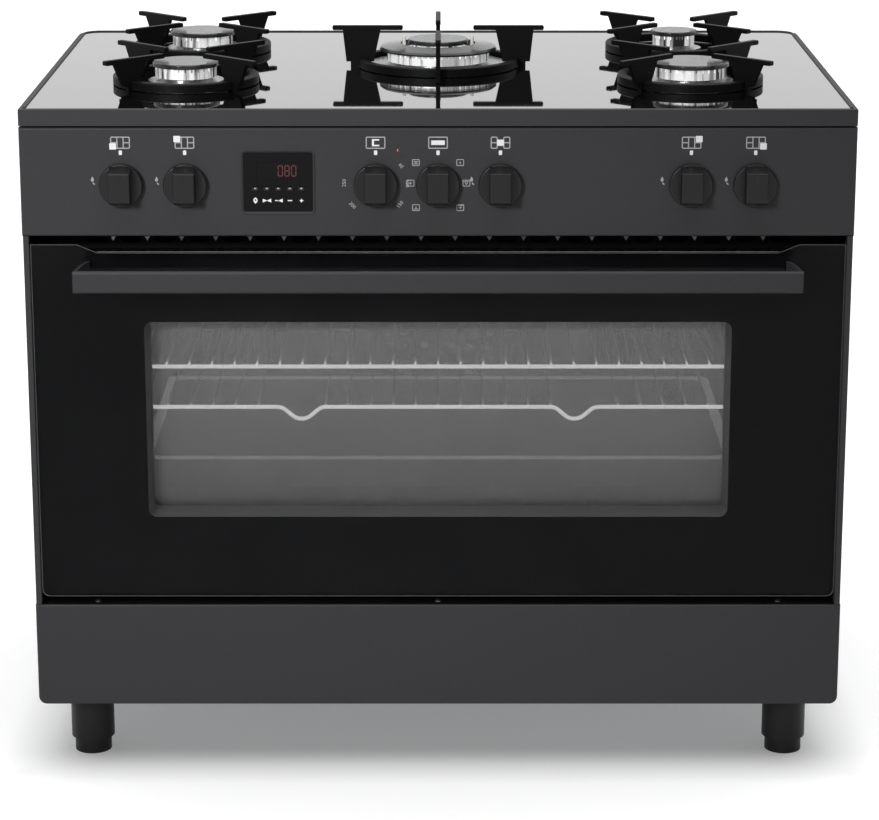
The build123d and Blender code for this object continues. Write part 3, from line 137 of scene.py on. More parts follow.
@dataclass(frozen=True)
class Finish:
    """A surface whose pattern drives its colour, roughness and relief. Grain and relief in millimetres."""

    name: str
    colour: str
    second: str
    roughness: Point
    metallic: float = 0.0
    specular: float = 0.5
    coat: float = 0.0
    alpha: float = 1.0
    glow: float = 0.0
    surface: Surface = Surface.CLOUDS
    contrast: Point = (0.32, 0.68)
    grain: float = 3.0
    stretch: Triple = (1.0, 1.0, 1.0)
    relief: float = 0.01
    fade: Fade | None = None
    glow_fade: Fade | None = None

    def pattern(self, tree: NodeTree) -> NodeSocket:
        """Draws the pattern on Object coordinates.

        Args:
            tree: the material's tree.

        Returns:
            The output that goes from 0 on the main colour to 1 on the second.
        """
        where = add(tree, "ShaderNodeTexCoord").outputs["Object"]
        scale = [s / (self.grain * MM) for s in self.stretch]
        at = {"Vector": out(tree, "ShaderNodeMapping", {"Vector": where, "Scale": scale}), "Scale": 1.0}
        low, high = self.contrast
        if self.surface is Surface.CLOUDS:
            value = out(tree, "ShaderNodeTexNoise", {**at, "Detail": LUMP_DETAIL})
        elif self.surface is Surface.CELLS:
            cells = add(tree, "ShaderNodeTexVoronoi", at).outputs["Color"]
            value, low, high = out(tree, "ShaderNodeSeparateColor", {0: cells}), 0.0, 1.0
        else:
            value, (low, high) = out(tree, "ShaderNodeTexVoronoi", at), SPECK_EDGE
        return out(tree, "ShaderNodeMapRange", {"Value": value, "From Min": low, "From Max": high})

    @staticmethod
    def faded(tree: NodeTree, colour: NodeSocket, fade: Fade | None) -> NodeSocket:
        """Fades a colour to another along an axis.

        Args:
            tree: the material's tree.
            colour: the colour's output.
            fade: the axis, where the fade starts and ends in millimetres, and the last colour; or nothing.

        Returns:
            The faded colour's output.
        """
        if fade is None:
            return colour
        axis, start, end, last = fade
        where = add(tree, "ShaderNodeTexCoord").outputs["Object"]
        along = add(tree, "ShaderNodeSeparateXYZ", {0: where}).outputs[axis]
        span = {"Value": along, "From Min": start * MM, "From Max": end * MM}
        share = out(tree, "ShaderNodeMapRange", span)
        return add(tree, "ShaderNodeMix", {0: share, 6: colour, 7: linear(last)}, data_type="RGBA").outputs[2]

    def material(self) -> Material:
        """Makes the finish's material on the first call, and keeps it.

        Returns:
            The material.
        """
        if self.name in bpy.data.materials:
            return bpy.data.materials[self.name]
        material, tree = bare_tree(self.name)
        pattern = self.pattern(tree)
        low, high = self.roughness
        gloss = out(tree, "ShaderNodeMapRange", {"Value": pattern, "To Min": low, "To Max": high})
        relief = out(tree, "ShaderNodeBump", {"Height": pattern, "Distance": self.relief * MM})
        mixed = {0: pattern, 6: linear(self.colour), 7: linear(self.second)}
        colour = self.faded(tree, add(tree, "ShaderNodeMix", mixed, data_type="RGBA").outputs[2], self.fade)
        skin = add(tree, "ShaderNodeBsdfPrincipled", {
            "Base Color": colour, "Roughness": gloss, "Normal": relief, "Metallic": self.metallic,
            "Specular IOR Level": self.specular, "Coat Weight": self.coat, "Alpha": self.alpha})
        if self.glow:
            tree.links.new(self.faded(tree, colour, self.glow_fade), skin.inputs["Emission Color"])
            skin.inputs["Emission Strength"].default_value = self.glow
        add(tree, "ShaderNodeOutputMaterial", {"Surface": skin.outputs[0]})
        return material


@dataclass(frozen=True)
class Glazing:
    """Clear glass that lamps shine through."""

    name: str
    colour: str
    ior: float
    smear: float = 0.012
    smear_mm: float = 60.0

    def material(self) -> Material:
        """Makes the glass's material on the first call, and keeps it.

        Returns:
            The material.
        """
        if self.name in bpy.data.materials:
            return bpy.data.materials[self.name]
        material, tree = bare_tree(self.name)
        where = add(tree, "ShaderNodeTexCoord").outputs["Object"]
        cloud = out(tree, "ShaderNodeTexNoise", {"Vector": where, "Scale": 1 / (self.smear_mm * MM)})
        gloss = out(tree, "ShaderNodeMapRange", {"Value": cloud, "To Max": self.smear})
        tint = linear(self.colour)
        glass = out(tree, "ShaderNodeBsdfPrincipled", {
            "Base Color": tint, "Roughness": gloss, "IOR": self.ior, "Transmission Weight": 1.0})
        shadow = add(tree, "ShaderNodeLightPath").outputs["Is Shadow Ray"]
        clear = out(tree, "ShaderNodeBsdfTransparent", {"Color": tint})
        both = out(tree, "ShaderNodeMixShader", {0: shadow, 1: glass, 2: clear})
        add(tree, "ShaderNodeOutputMaterial", {"Surface": both})
        return material


# Powder coat: even dark grey, satin. Its orange peel is drawn coarser than the true 1 mm to show.
ANTHRACITE = Finish(
    "powder_coated_steel", "#323234", "#353537", (0.42, 0.50), specular=0.2, grain=2.5, relief=0.012)
# The hob's rim: the same powder, rougher, so that it stays dark at a low angle.
RIM_POWDER = Finish(
    "powder_coated_rim", "#323234", "#353537", (0.58, 0.66), specular=0.25, grain=2.5, relief=0.012)
# Hot-dip zinc: pale grey crystals of different gloss.
ZINC_SHEET = Finish(
    "galvanised_steel", "#93969a", "#a3a6a9", (0.38, 0.5), metallic=0.9, surface=Surface.CELLS, grain=9.0,
    relief=0.004)
# Fired enamel: deep black and glossy, with slow waves.
BLACK_ENAMEL = Finish("black_vitreous_enamel", "#111112", "#161617", (0.16, 0.26), grain=7.0, relief=0.02)
# The frame behind the door: matt black enamel, darker than the door's enamel as painted shade in the vent
# gap.
MATT_ENAMEL = Finish(
    "matt_black_enamel", "#09090a", "#0d0d0e", (0.55, 0.7), specular=0.12, grain=5.0, relief=0.02)
# Oven enamel: dark grey with pale fired specks.
OVEN_ENAMEL = Finish(
    "speckled_oven_enamel", "#141516", "#2c2d2f", (0.22, 0.34), surface=Surface.SPECKS, grain=4.0)
# The tray's speckled enamel. Its rim is painted pale and glows, a painted highlight.
TRAY_ENAMEL_PAINTED_RIM = Finish(
    "speckled_tray_enamel", "#1f2022", "#5c5e62", (0.18, 0.3), surface=Surface.SPECKS, grain=3.2,
    glow=0.5, fade=("Z", 343.4, 344.4, "#d0d0d0"))
# Mineral wool: matt brown-grey fibre, laid flat.
WOOL = Finish(
    "mineral_wool", "#55503f", "#6a6450", (0.9, 1.0), grain=3.0, stretch=(0.3, 1.0, 1.0), relief=0.6)
# Chrome wire: softly polished, painted darker further in as painted shade. Its front rails glow, painted
# light that shows through the inner pane.
GLOWING_WIRE = Finish(
    "chrome_plated_wire", "#eeeff0", "#f6f6f7", (0.36, 0.48), metallic=0.8, specular=0.1, glow=2.7, grain=4.0,
    relief=0.004, fade=("Y", -200.0, -150.0, "#6c6d6f"), glow_fade=("Y", -199.0, -191.0, "#000000"))
# Heating element: oxidised brown-grey by heat.
ELEMENT = Finish("oxidised_nickel_alloy", "#4a453f", "#5f5850", (0.42, 0.6), metallic=0.8, grain=12.0)
# Zinc-plated screw: bright blue-white.
ZINC_SCREW = Finish(
    "zinc_plated_steel", "#b4b8bd", "#c9cdd1", (0.24, 0.36), metallic=1.0, grain=2.0, relief=0.004)
# Pressed hinge steel: passivated, satin.
HINGE_STEEL = Finish("passivated_steel", "#8f9091", "#a2a3a4", (0.34, 0.46), metallic=0.95, grain=6.0)
# Aluminised sheet: soft silver, rolled along X.
ALUMINISED = Finish(
    "aluminised_steel", "#a7a8a9", "#b9babb", (0.36, 0.48), metallic=0.95, grain=1.5,
    stretch=(0.06, 1.0, 1.0), relief=0.003)
# Lamp cover: frosted, milky.
LAMP_COVER = Finish("frosted_borosilicate_glass", "#c9cbc8", "#d9dbd8", (0.3, 0.42), coat=0.4, grain=5.0)
# Black strip under the door: painted shade in the gap between the door and the plinth.
DOOR_GAP_SHADE = Finish("black_foam_strip", "#070708", "#0b0b0c", (0.85, 0.95), specular=0.03, grain=1.2, relief=0.05)
# Silicone door seal: dull black, slightly dusty.
SEAL = Finish("silicone_rubber", "#1b1b1c", "#262627", (0.6, 0.75), grain=2.0, relief=0.02)
# Hob glass, black behind: a mirror for the room.
HOB_GLASS = Finish(
    "black_toughened_glass", "#050506", "#070708", (0.015, 0.03), coat=0.62, grain=90.0, relief=0.0)
# Inner pane: a grey haze over what is behind it, painted lighter at the top and darker towards the bottom as
# painted shade.
HAZE_GLASS = Finish(
    "heat_reflecting_glass", "#646464", "#686868", (0.12, 0.2), alpha=0.6, grain=80.0, relief=0.0,
    fade=("Z", 520.0, 290.0, "#484848"))
# Burner cup: pressed aluminium, satin.
BURNER_CUP = Finish(
    "pressed_aluminium", "#9c9d9e", "#b3b4b5", (0.24, 0.36), metallic=1.0, grain=3.0, relief=0.006)
# Burner head: die-cast aluminium. Its fine upright bands, from near black to white, are painted reflections,
# and its faint glow is painted light.
BURNER_HEAD = Finish(
    "die_cast_aluminium", "#2c2c2c", "#ffffff", (0.2, 0.32), metallic=0.25, contrast=(0.38, 0.53), glow=0.3,
    grain=8.0, stretch=(1.0, 1.0, 0.04), relief=0.1)
# Burner cap: glossy grey-black enamel.
BURNER_CAP = Finish(
    "enamelled_burner_cap", "#27282a", "#2f3032", (0.14, 0.22), specular=0.36, grain=6.0, relief=0.012)
# Spark plug ceramic: warm white, glazed.
CERAMIC = Finish("glazed_ceramic", "#dcdad4", "#e8e6e0", (0.14, 0.24), coat=0.3, grain=2.0)
# Pan supports: pebbled by the sand mould.
CAST_IRON = Finish(
    "enamelled_cast_iron", "#080809", "#0d0d0e", (0.4, 0.55), specular=0.1, grain=1.8, relief=0.05)
# Turned brass of the taps and spindles.
BRASS = Finish(
    "turned_brass", "#a98b4e", "#bd9f60", (0.26, 0.38), metallic=1.0, grain=1.2, stretch=(1.0, 0.08, 1.0),
    relief=0.004)
# Phenolic switch bodies: matt brown-black.
PHENOLIC = Finish("phenolic_moulding", "#1f1b18", "#28231f", (0.5, 0.62), grain=1.5)
# The timer's case and its buttons: black.
TIMER_ABS = Finish(
    "spark_eroded_abs", "#0a0a0b", "#0d0d0e", (0.5, 0.6), specular=0.1, grain=0.9, relief=0.012)
BUTTON_ABS = Finish("polished_abs", "#0a0a0b", "#0d0d0e", (0.16, 0.24), specular=0.3, grain=1.5, relief=0.004)
# Knobs: black, with a fine matt grain that is drawn a little coarse to show.
KNOB_MOULDING = Finish(
    "matt_thermoset_moulding", "#0e0e0f", "#111112", (0.32, 0.42), specular=0.28, grain=1.1, relief=0.012)
# Legs: dark and waxy.
LEG_MOULDING = Finish(
    "moulded_polypropylene", "#0f0f10", "#131314", (0.4, 0.52), specular=0.22, grain=3.0, relief=0.02)
# Screen inks: opaque, a little uneven.
WHITE_INK = Finish("white_screen_ink", "#e9e9ea", "#f2f2f3", (0.45, 0.6), grain=0.8, relief=0.004)
GREY_INK = Finish("grey_screen_ink", "#a4a4a6", "#b0b0b2", (0.45, 0.6), grain=0.8, relief=0.004)
# Window lining between the panes: grey, a soft edge.
LINING = Finish("satin_grey_lining", "#3a3a3b", "#3f3f40", (0.5, 0.6), specular=0.3, grain=4.0)
# Frit fused behind the door glass: dense black, with the faint gloss of the glass itself.
BLACK_FRIT = Finish(
    "black_ceramic_frit", "#060607", "#080809", (0.015, 0.03), specular=0.065, grain=60.0, relief=0.0)
# Smoked display window, and its dim red segments.
DISPLAY_WINDOW = Finish(
    "smoked_acrylic", "#070806", "#090a08", (0.06, 0.12), specular=0.12, grain=20.0, relief=0.0)
DIGIT_RED = Finish("red_light_segment", "#58161e", "#661e26", (0.3, 0.4), glow=0.06, grain=0.7, relief=0.0)
# Pilot lens: amber-red, unlit.
PILOT_LENS = Finish("amber_acrylic_lens", "#4a2a20", "#5c372a", (0.06, 0.1), coat=0.8, grain=1.0)
# Coated door glass. The index of air leaves all of its gloss to the frit behind it.
DOOR_GLASS = Glazing("low_reflection_glass", "#f5f5f5", 1.0)
# Its ground edge: pale, matt, slightly green.
GROUND_EDGE = Finish("ground_glass_edge", "#686b6a", "#727574", (0.5, 0.62), grain=1.0)


# Shapes and pieces


def rounded(x: float, z: float, width: float, height: float, radius: float, steps: int = 4) -> Loop:
    """Draws a rectangle with round corners on the front, in millimetres.

    Args:
        x, z: middle across and in height.
        width, height: size across and in height.
        radius: corner radius.
        steps: edges in each corner.

    Returns:
        The outline, the same way round and with as many points for any size.
    """
    loop = []
    for corner, (sx, sz) in enumerate(((1, 1), (-1, 1), (-1, -1), (1, -1))):
        cx, cz = x + sx * (width / 2 - radius), z + sz * (height / 2 - radius)
        for step in range(steps + 1):
            angle = math.pi / 2 * (corner + step / steps)
            loop.append((cx + radius * math.cos(angle), cz + radius * math.sin(angle)))
    return loop


def circle(x: float, z: float, radius: float, steps: int = 20) -> Loop:
    """Draws a round outline on the front, in millimetres."""
    turns = [2 * math.pi * i / steps for i in range(steps)]
    return [(x + radius * math.cos(a), z + radius * math.sin(a)) for a in turns]


def stroke(ends: Line, width: float) -> Loop:
    """Draws a straight line of some width on the front.

    Args:
        ends: where it starts and ends, each across and in height.
        width: the line's width.

    Returns:
        The outline.
    """
    x0, z0, x1, z1 = ends
    ax, az = Vector((x1 - x0, z1 - z0)).normalized() * width / 2
    return [(x0 - az, z0 + ax), (x0 + az, z0 - ax), (x1 + az, z1 - ax), (x1 - az, z1 + ax)]


def moved(loop: Loop, x: float, z: float) -> Loop:
    """Shifts an outline on the front."""
    return [(px + x, pz + z) for px, pz in loop]


def grid(x: float, z: float, width: float, height: float, line: float, radii: Point,
         rows: tuple[int, ...] = (1,)) -> Shape:
    """Draws a frame of thin lines round cells.

    Args:
        x, z: middle across and in height.
        width, height: size across and in height.
        line: the lines' width.
        radii: corner radius of the frame and of its cells.
        rows: how many cells each column has over each other.

    Returns:
        The frame's outline and its cells.
    """
    shape = [rounded(x, z, width, height, radii[0])]
    wide = (width - (len(rows) + 1) * line) / len(rows)
    for column, count in enumerate(rows):
        high = (height - (count + 1) * line) / count
        across = x + (column - (len(rows) - 1) / 2) * (wide + line)
        for row in range(count):
            up = z + (row - (count - 1) / 2) * (high + line)
            shape.append(rounded(across, up, wide, high, radii[1]))
    return shape


def slab(shapes: list[Shape], front: float, back: float) -> BMesh:
    """Cuts flat shapes as plates that face the front.

    Args:
        shapes: outlines, each with its holes after it, in millimetres.
        front: depth of the plates' faces.
        back: depth of their backs.

    Returns:
        The closed plates, in metres.
    """
    bm = bmesh.new()
    for loops in shapes:
        edges = []
        for loop in loops:
            ring = [bm.verts.new((x * MM, back * MM, z * MM)) for x, z in loop]
            edges += [bm.edges.new(pair) for pair in zip(ring, ring[1:] + ring[:1])]
        filled = bmesh.ops.triangle_fill(bm, use_beauty=True, edges=edges)["geom"]
        flat = [f for f in filled if isinstance(f, BMFace)]
        lifted = bmesh.ops.extrude_face_region(bm, geom=flat)["geom"]
        verts = [v for v in lifted if isinstance(v, BMVert)]
        bmesh.ops.translate(bm, vec=(0, (front - back) * MM, 0), verts=verts)
    bmesh.ops.recalc_face_normals(bm, faces=bm.faces)
    return bm


def loft(rings: list[tuple[Loop, float]], hoop: bool) -> BMesh:
    """Joins outlines of as many points each into one solid.

    Args:
        rings: each outline with its depth, in millimetres, in order.
        hoop: whether the last outline joins the first. If not, both ends are capped.

    Returns:
        The solid, in metres.
    """
    bm = bmesh.new()
    rows = [[bm.verts.new((x * MM, depth * MM, z * MM)) for x, z in loop] for loop, depth in rings]
    for near, far in zip(rows, rows[1:] + rows[:1] if hoop else rows[1:]):
        for i in range(len(near)):
            bm.faces.new((near[i - 1], near[i], far[i], far[i - 1]))
    if not hoop:
        bm.faces.new(rows[0])
        bm.faces.new(rows[-1])
    bmesh.ops.recalc_face_normals(bm, faces=bm.faces)
    return bm


def piece(name: str, source: BMesh | Mesh, body: str,
          finish: Finish | Glazing, smooth: bool = False) -> Object:
    """Makes a finished piece that moves with a body.

    Args:
        name: the piece's name.
        source: its mesh, in place, in metres.
        body: the body that it rides on.
        finish: its surface.
        smooth: whether its faces shade as one curve.

    Returns:
        The piece.
    """
    if isinstance(source, BMesh):
        mesh = bpy.data.meshes.new(name)
        source.to_mesh(mesh)
        source.free()
        mesh.materials.append(finish.material())
    else:
        mesh = source
    mesh.polygons.foreach_set("use_smooth", [smooth] * len(mesh.polygons))
    made = bpy.data.objects.new(name, mesh)
    bpy.context.scene.collection.objects.link(made)
    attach(made, body)
    log.info("made %s on %s, %d faces", name, body, len(mesh.polygons))
    return made


def middle(node: str) -> Vector:
    """Gives the middle of a node's box, in millimetres."""
    low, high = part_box(node)
    return (low + high) / 2 / MM


def extent(node: str) -> tuple[Vector, Vector]:
    """Gives the low and the high corner of a node's box, in millimetres."""
    low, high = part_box(node)
    return low / MM, high / MM


def front_of(node: str) -> float:
    """Gives the depth of a node's front, in millimetres."""
    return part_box(node)[0].y / MM


def numerals(text: str, height: float, place: Matrix) -> Mesh:
    """Sets a number as a thin mesh.

    Args:
        text: the digits.
        height: the size of the type, in millimetres.
        place: where the number's middle goes, in metres.

    Returns:
        The mesh, in place.
    """
    curve = bpy.data.curves.new(text, "FONT")
    curve.body, curve.size, curve.extrude, curve.resolution_u = text, height * MM, TYPE_HALF * MM, 2
    curve.align_x, curve.align_y = "CENTER", "CENTER"
    setting = bpy.data.objects.new(text, curve)
    bpy.context.scene.collection.objects.link(setting)
    evaluated = setting.evaluated_get(bpy.context.evaluated_depsgraph_get())
    mesh = bpy.data.meshes.new_from_object(evaluated)
    bpy.data.objects.remove(setting)
    mesh.transform(place)
    return mesh


# Repeats by geometry nodes


def blank_group(name: str, *sizes: str) -> tuple[NodeTree, NodeSocket, list[NodeSocket]]:
    """Starts a node group that takes points and sizes.

    Args:
        name: the group's name.
        sizes: the names of its sizes, in metres.

    Returns:
        The group, its points and its sizes.
    """
    group = bpy.data.node_groups.new(name, "GeometryNodeTree")
    group.interface.new_socket("Points", in_out="INPUT", socket_type="NodeSocketGeometry")
    for size in sizes:
        group.interface.new_socket(size, in_out="INPUT", socket_type="NodeSocketFloat")
    group.interface.new_socket("Geometry", in_out="OUTPUT", socket_type="NodeSocketGeometry")
    start = group.nodes.new("NodeGroupInput").outputs
    return group, start["Points"], [start[size] for size in sizes]


def closed(group: NodeTree, shape: NodeSocket, finish: Finish, points: NodeSocket | None = None,
           turn: Triple = (0.0, 0.0, 0.0)) -> NodeTree:
    """Ends a group: sets its shape on points, makes that real and gives it its surface.

    Args:
        group: the group.
        shape: what it has drawn.
        finish: the surface.
        points: where the shape is set. Without them it stays as drawn.
        turn: how the shape is turned on each point.

    Returns:
        The group.
    """
    if points is not None:
        turned = out(group, "GeometryNodeTransform", {"Geometry": shape, "Rotation": turn})
        shape = out(group, "GeometryNodeInstanceOnPoints", {"Points": points, "Instance": turned})
    real = out(group, "GeometryNodeRealizeInstances", {0: shape})
    done = out(group, "GeometryNodeSetMaterial", {"Geometry": real, "Material": finish.material()})
    add(group, "NodeGroupOutput", {0: done})
    return group


def grow(group: NodeTree, points: list[Vector], *sizes: float, linked: bool = False) -> Mesh:
    """Runs a node group on points.

    Args:
        group: the group.
        points: where the shape repeats or passes, in metres.
        sizes: the group's sizes in their order, in millimetres.
        linked: whether the points make one path.

    Returns:
        The result as a plain mesh.
    """
    mesh = bpy.data.meshes.new(group.name)
    mesh.from_pydata(points, [(i, i + 1) for i in range(len(points) - 1)] if linked else [], [])
    holder = bpy.data.objects.new(group.name, mesh)
    bpy.context.scene.collection.objects.link(holder)
    modifier = holder.modifiers.new(group.name, "NODES")
    modifier.node_group = group
    takes = [item.identifier for item in group.interface.items_tree if item.in_out == "INPUT"]
    for name, size in zip(takes[1:], sizes):
        modifier[name] = size * MM
    evaluated = holder.evaluated_get(bpy.context.evaluated_depsgraph_get())
    result = bpy.data.meshes.new_from_object(evaluated)
    bpy.data.objects.remove(holder)
    return result


# Studio


@dataclass
class Studio:
    """Pale floor, soft light and the camera."""

    camera_place: Triple = (0.0016, -3.455, 1.282)
    camera_tilt: float = 15.16
    lens: float = 123.1
    floor_size: float = 30.0
    floor_drop: float = 0.0005
    # The floor glows less near the cooker's footprint than away from it: a painted shadow round the cooker.
    floor_glow: float = 0.20
    clear_floor_glow: float = 0.42
    clear_from: float = 0.05
    footprint_centre: Triple = (0.0, 0.031, 0.0)
    footprint_half: Triple = (0.45, 0.30, 0.0)
    floor_colour: str = "#eeeeee"
    bounce_colour: str = "#828282"
    ambient: float = 0.18
    front_reflection: float = 0.35
    front_edge: float = 0.3
    overhead_power: float = 2.55
    overhead_spread: float = 78.0
    key_place: Triple = (-1.75, -3.87, 2.15)
    key_aim: Triple = (-0.2, -0.27, 0.47)
    key_cone: float = 26.5
    key_radius: float = 0.42
    key_power: float = 600.0

    def build(self) -> None:
        """Sets up the whole studio."""
        floor = self.floor()
        self.world()
        self.lamps(floor)
        self.camera()

    def floor(self) -> Object:
        """Lays the floor.

        Returns:
            The floor.
        """
        half = self.floor_size / 2
        mesh = bpy.data.meshes.new("studio_floor")
        corners = [(-half, -half), (half, -half), (half, half), (-half, half)]
        mesh.from_pydata([(x, y, -self.floor_drop) for x, y in corners], [], [(0, 1, 2, 3)])
        material, tree = bare_tree("pale_studio_floor")
        shown = out(tree, "ShaderNodeBsdfDiffuse", {"Color": linear(self.floor_colour)})
        glow = out(tree, "ShaderNodeEmission", {"Strength": self.glow(tree)})
        bright = out(tree, "ShaderNodeAddShader", {0: shown, 1: glow})
        bounce = out(tree, "ShaderNodeBsdfDiffuse", {"Color": linear(self.bounce_colour)})
        both = out(tree, "ShaderNodeMixShader", {0: self.seen(tree), 1: bounce, 2: bright})
        add(tree, "ShaderNodeOutputMaterial", {"Surface": both})
        mesh.materials.append(material)
        floor = bpy.data.objects.new("studio_floor", mesh)
        bpy.context.scene.collection.objects.link(floor)
        return floor

    def glow(self, tree: NodeTree) -> NodeSocket:
        """Paints light on the floor away from the cooker's footprint; the dimmer glow near it is a painted
        shadow.

        Args:
            tree: the floor's tree.

        Returns:
            The strength's output.
        """
        away = add(tree, "ShaderNodeTexCoord").outputs["Object"]
        centre, half = self.footprint_centre, self.footprint_half
        for work, by in (("SUBTRACT", centre), ("ABSOLUTE", (0, 0, 0)), ("SUBTRACT", half)):
            away = out(tree, "ShaderNodeVectorMath", {0: away, 1: by}, operation=work)
        parts = add(tree, "ShaderNodeSeparateXYZ", {0: away}).outputs
        far = out(tree, "ShaderNodeMath", {0: parts["X"], 1: parts["Y"]}, operation="MAXIMUM")
        return out(tree, "ShaderNodeMapRange", {
            "Value": far, "From Max": self.clear_from, "To Min": self.floor_glow,
            "To Max": self.clear_floor_glow})

    def seen(self, tree: NodeTree) -> NodeSocket:
        """Tells rays that look at the studio from rays that only light it.

        Args:
            tree: the floor's or the world's tree.

        Returns:
            The output that is 1 for camera, glossy and transmission rays.
        """
        path = add(tree, "ShaderNodeLightPath").outputs
        seen = path["Is Camera Ray"]
        for kind in ("Is Glossy Ray", "Is Transmission Ray"):
            seen = out(tree, "ShaderNodeMath", {0: seen, 1: path[kind]}, operation="MAXIMUM")
        return seen

    def world(self) -> None:
        """Lights the room evenly, with a white backdrop and a dimmer front for reflections."""
        world = bpy.data.worlds.new("studio_room")
        bpy.context.scene.world = world
        world.use_nodes = True
        tree = world.node_tree
        tree.nodes.clear()
        way = add(tree, "ShaderNodeTexCoord").outputs["Generated"]
        depth = add(tree, "ShaderNodeSeparateXYZ", {0: way}).outputs["Y"]
        fade = out(tree, "ShaderNodeMapRange", {
            "Value": depth, "From Min": -self.front_edge, "From Max": self.front_edge,
            "To Min": self.front_reflection})
        camera = add(tree, "ShaderNodeLightPath").outputs["Is Camera Ray"]
        white = out(tree, "ShaderNodeMath", {0: fade, 1: camera}, operation="MAXIMUM")
        level = out(tree, "ShaderNodeMix", {0: self.seen(tree), 2: self.ambient, 3: white})
        sky = out(tree, "ShaderNodeBackground", {"Color": (1.0, 1.0, 1.0, 1.0), "Strength": level})
        add(tree, "ShaderNodeOutputWorld", {"Surface": sky})

    def lamps(self, floor: Object) -> None:
        """Hangs the overhead light and the key light.

        Args:
            floor: the floor, which the key light leaves to the overhead one.
        """
        overhead = bpy.data.lights.new("overhead_softbox", "SUN")
        overhead.energy, overhead.angle = self.overhead_power, math.radians(self.overhead_spread)
        above = bpy.data.objects.new("overhead_softbox", overhead)
        key = bpy.data.lights.new("key_spot", "SPOT")
        key.energy, key.shadow_soft_size = self.key_power, self.key_radius
        key.spot_size, key.spot_blend = math.radians(self.key_cone), 1.0
        side = bpy.data.objects.new("key_spot", key)
        side.location = self.key_place
        aim = Vector(self.key_aim) - Vector(self.key_place)
        side.rotation_euler = aim.to_track_quat("-Z", "Y").to_euler()
        for lamp in (above, side):
            bpy.context.scene.collection.objects.link(lamp)
        spared = bpy.data.collections.new("key_light_spares")
        spared.objects.link(floor)
        side.light_linking.receiver_collection = spared
        spared.collection_objects[0].light_linking.link_state = "EXCLUDE"

    def camera(self) -> None:
        """Places the camera and the plain view settings."""
        scene = bpy.context.scene
        eye = bpy.data.cameras.new("camera")
        eye.lens = self.lens
        scene.camera = bpy.data.objects.new("camera", eye)
        scene.camera.location = self.camera_place
        scene.camera.rotation_euler = (math.radians(90 - self.camera_tilt), 0, 0)
        scene.collection.objects.link(scene.camera)
        scene.view_settings.view_transform = "Standard"


# The cooker


class Assembly:
    """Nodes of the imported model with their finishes, and the pieces that are made for them."""

    coats: dict[Finish | Glazing, str] = {}

    def build(self) -> None:
        """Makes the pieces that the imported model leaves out, where there are any."""

    def dress(self) -> None:
        """Gives each node its finish. A star in a name stands for all that follows."""
        for finish, names in self.coats.items():
            for node in (n for name in names.split() for n in fnmatch.filter(frame["nodes"], name)):
                for place in frame["nodes"][node].material_slots:
                    place.material = finish.material()
                log.info("dressed %s in %s", node, finish.name)


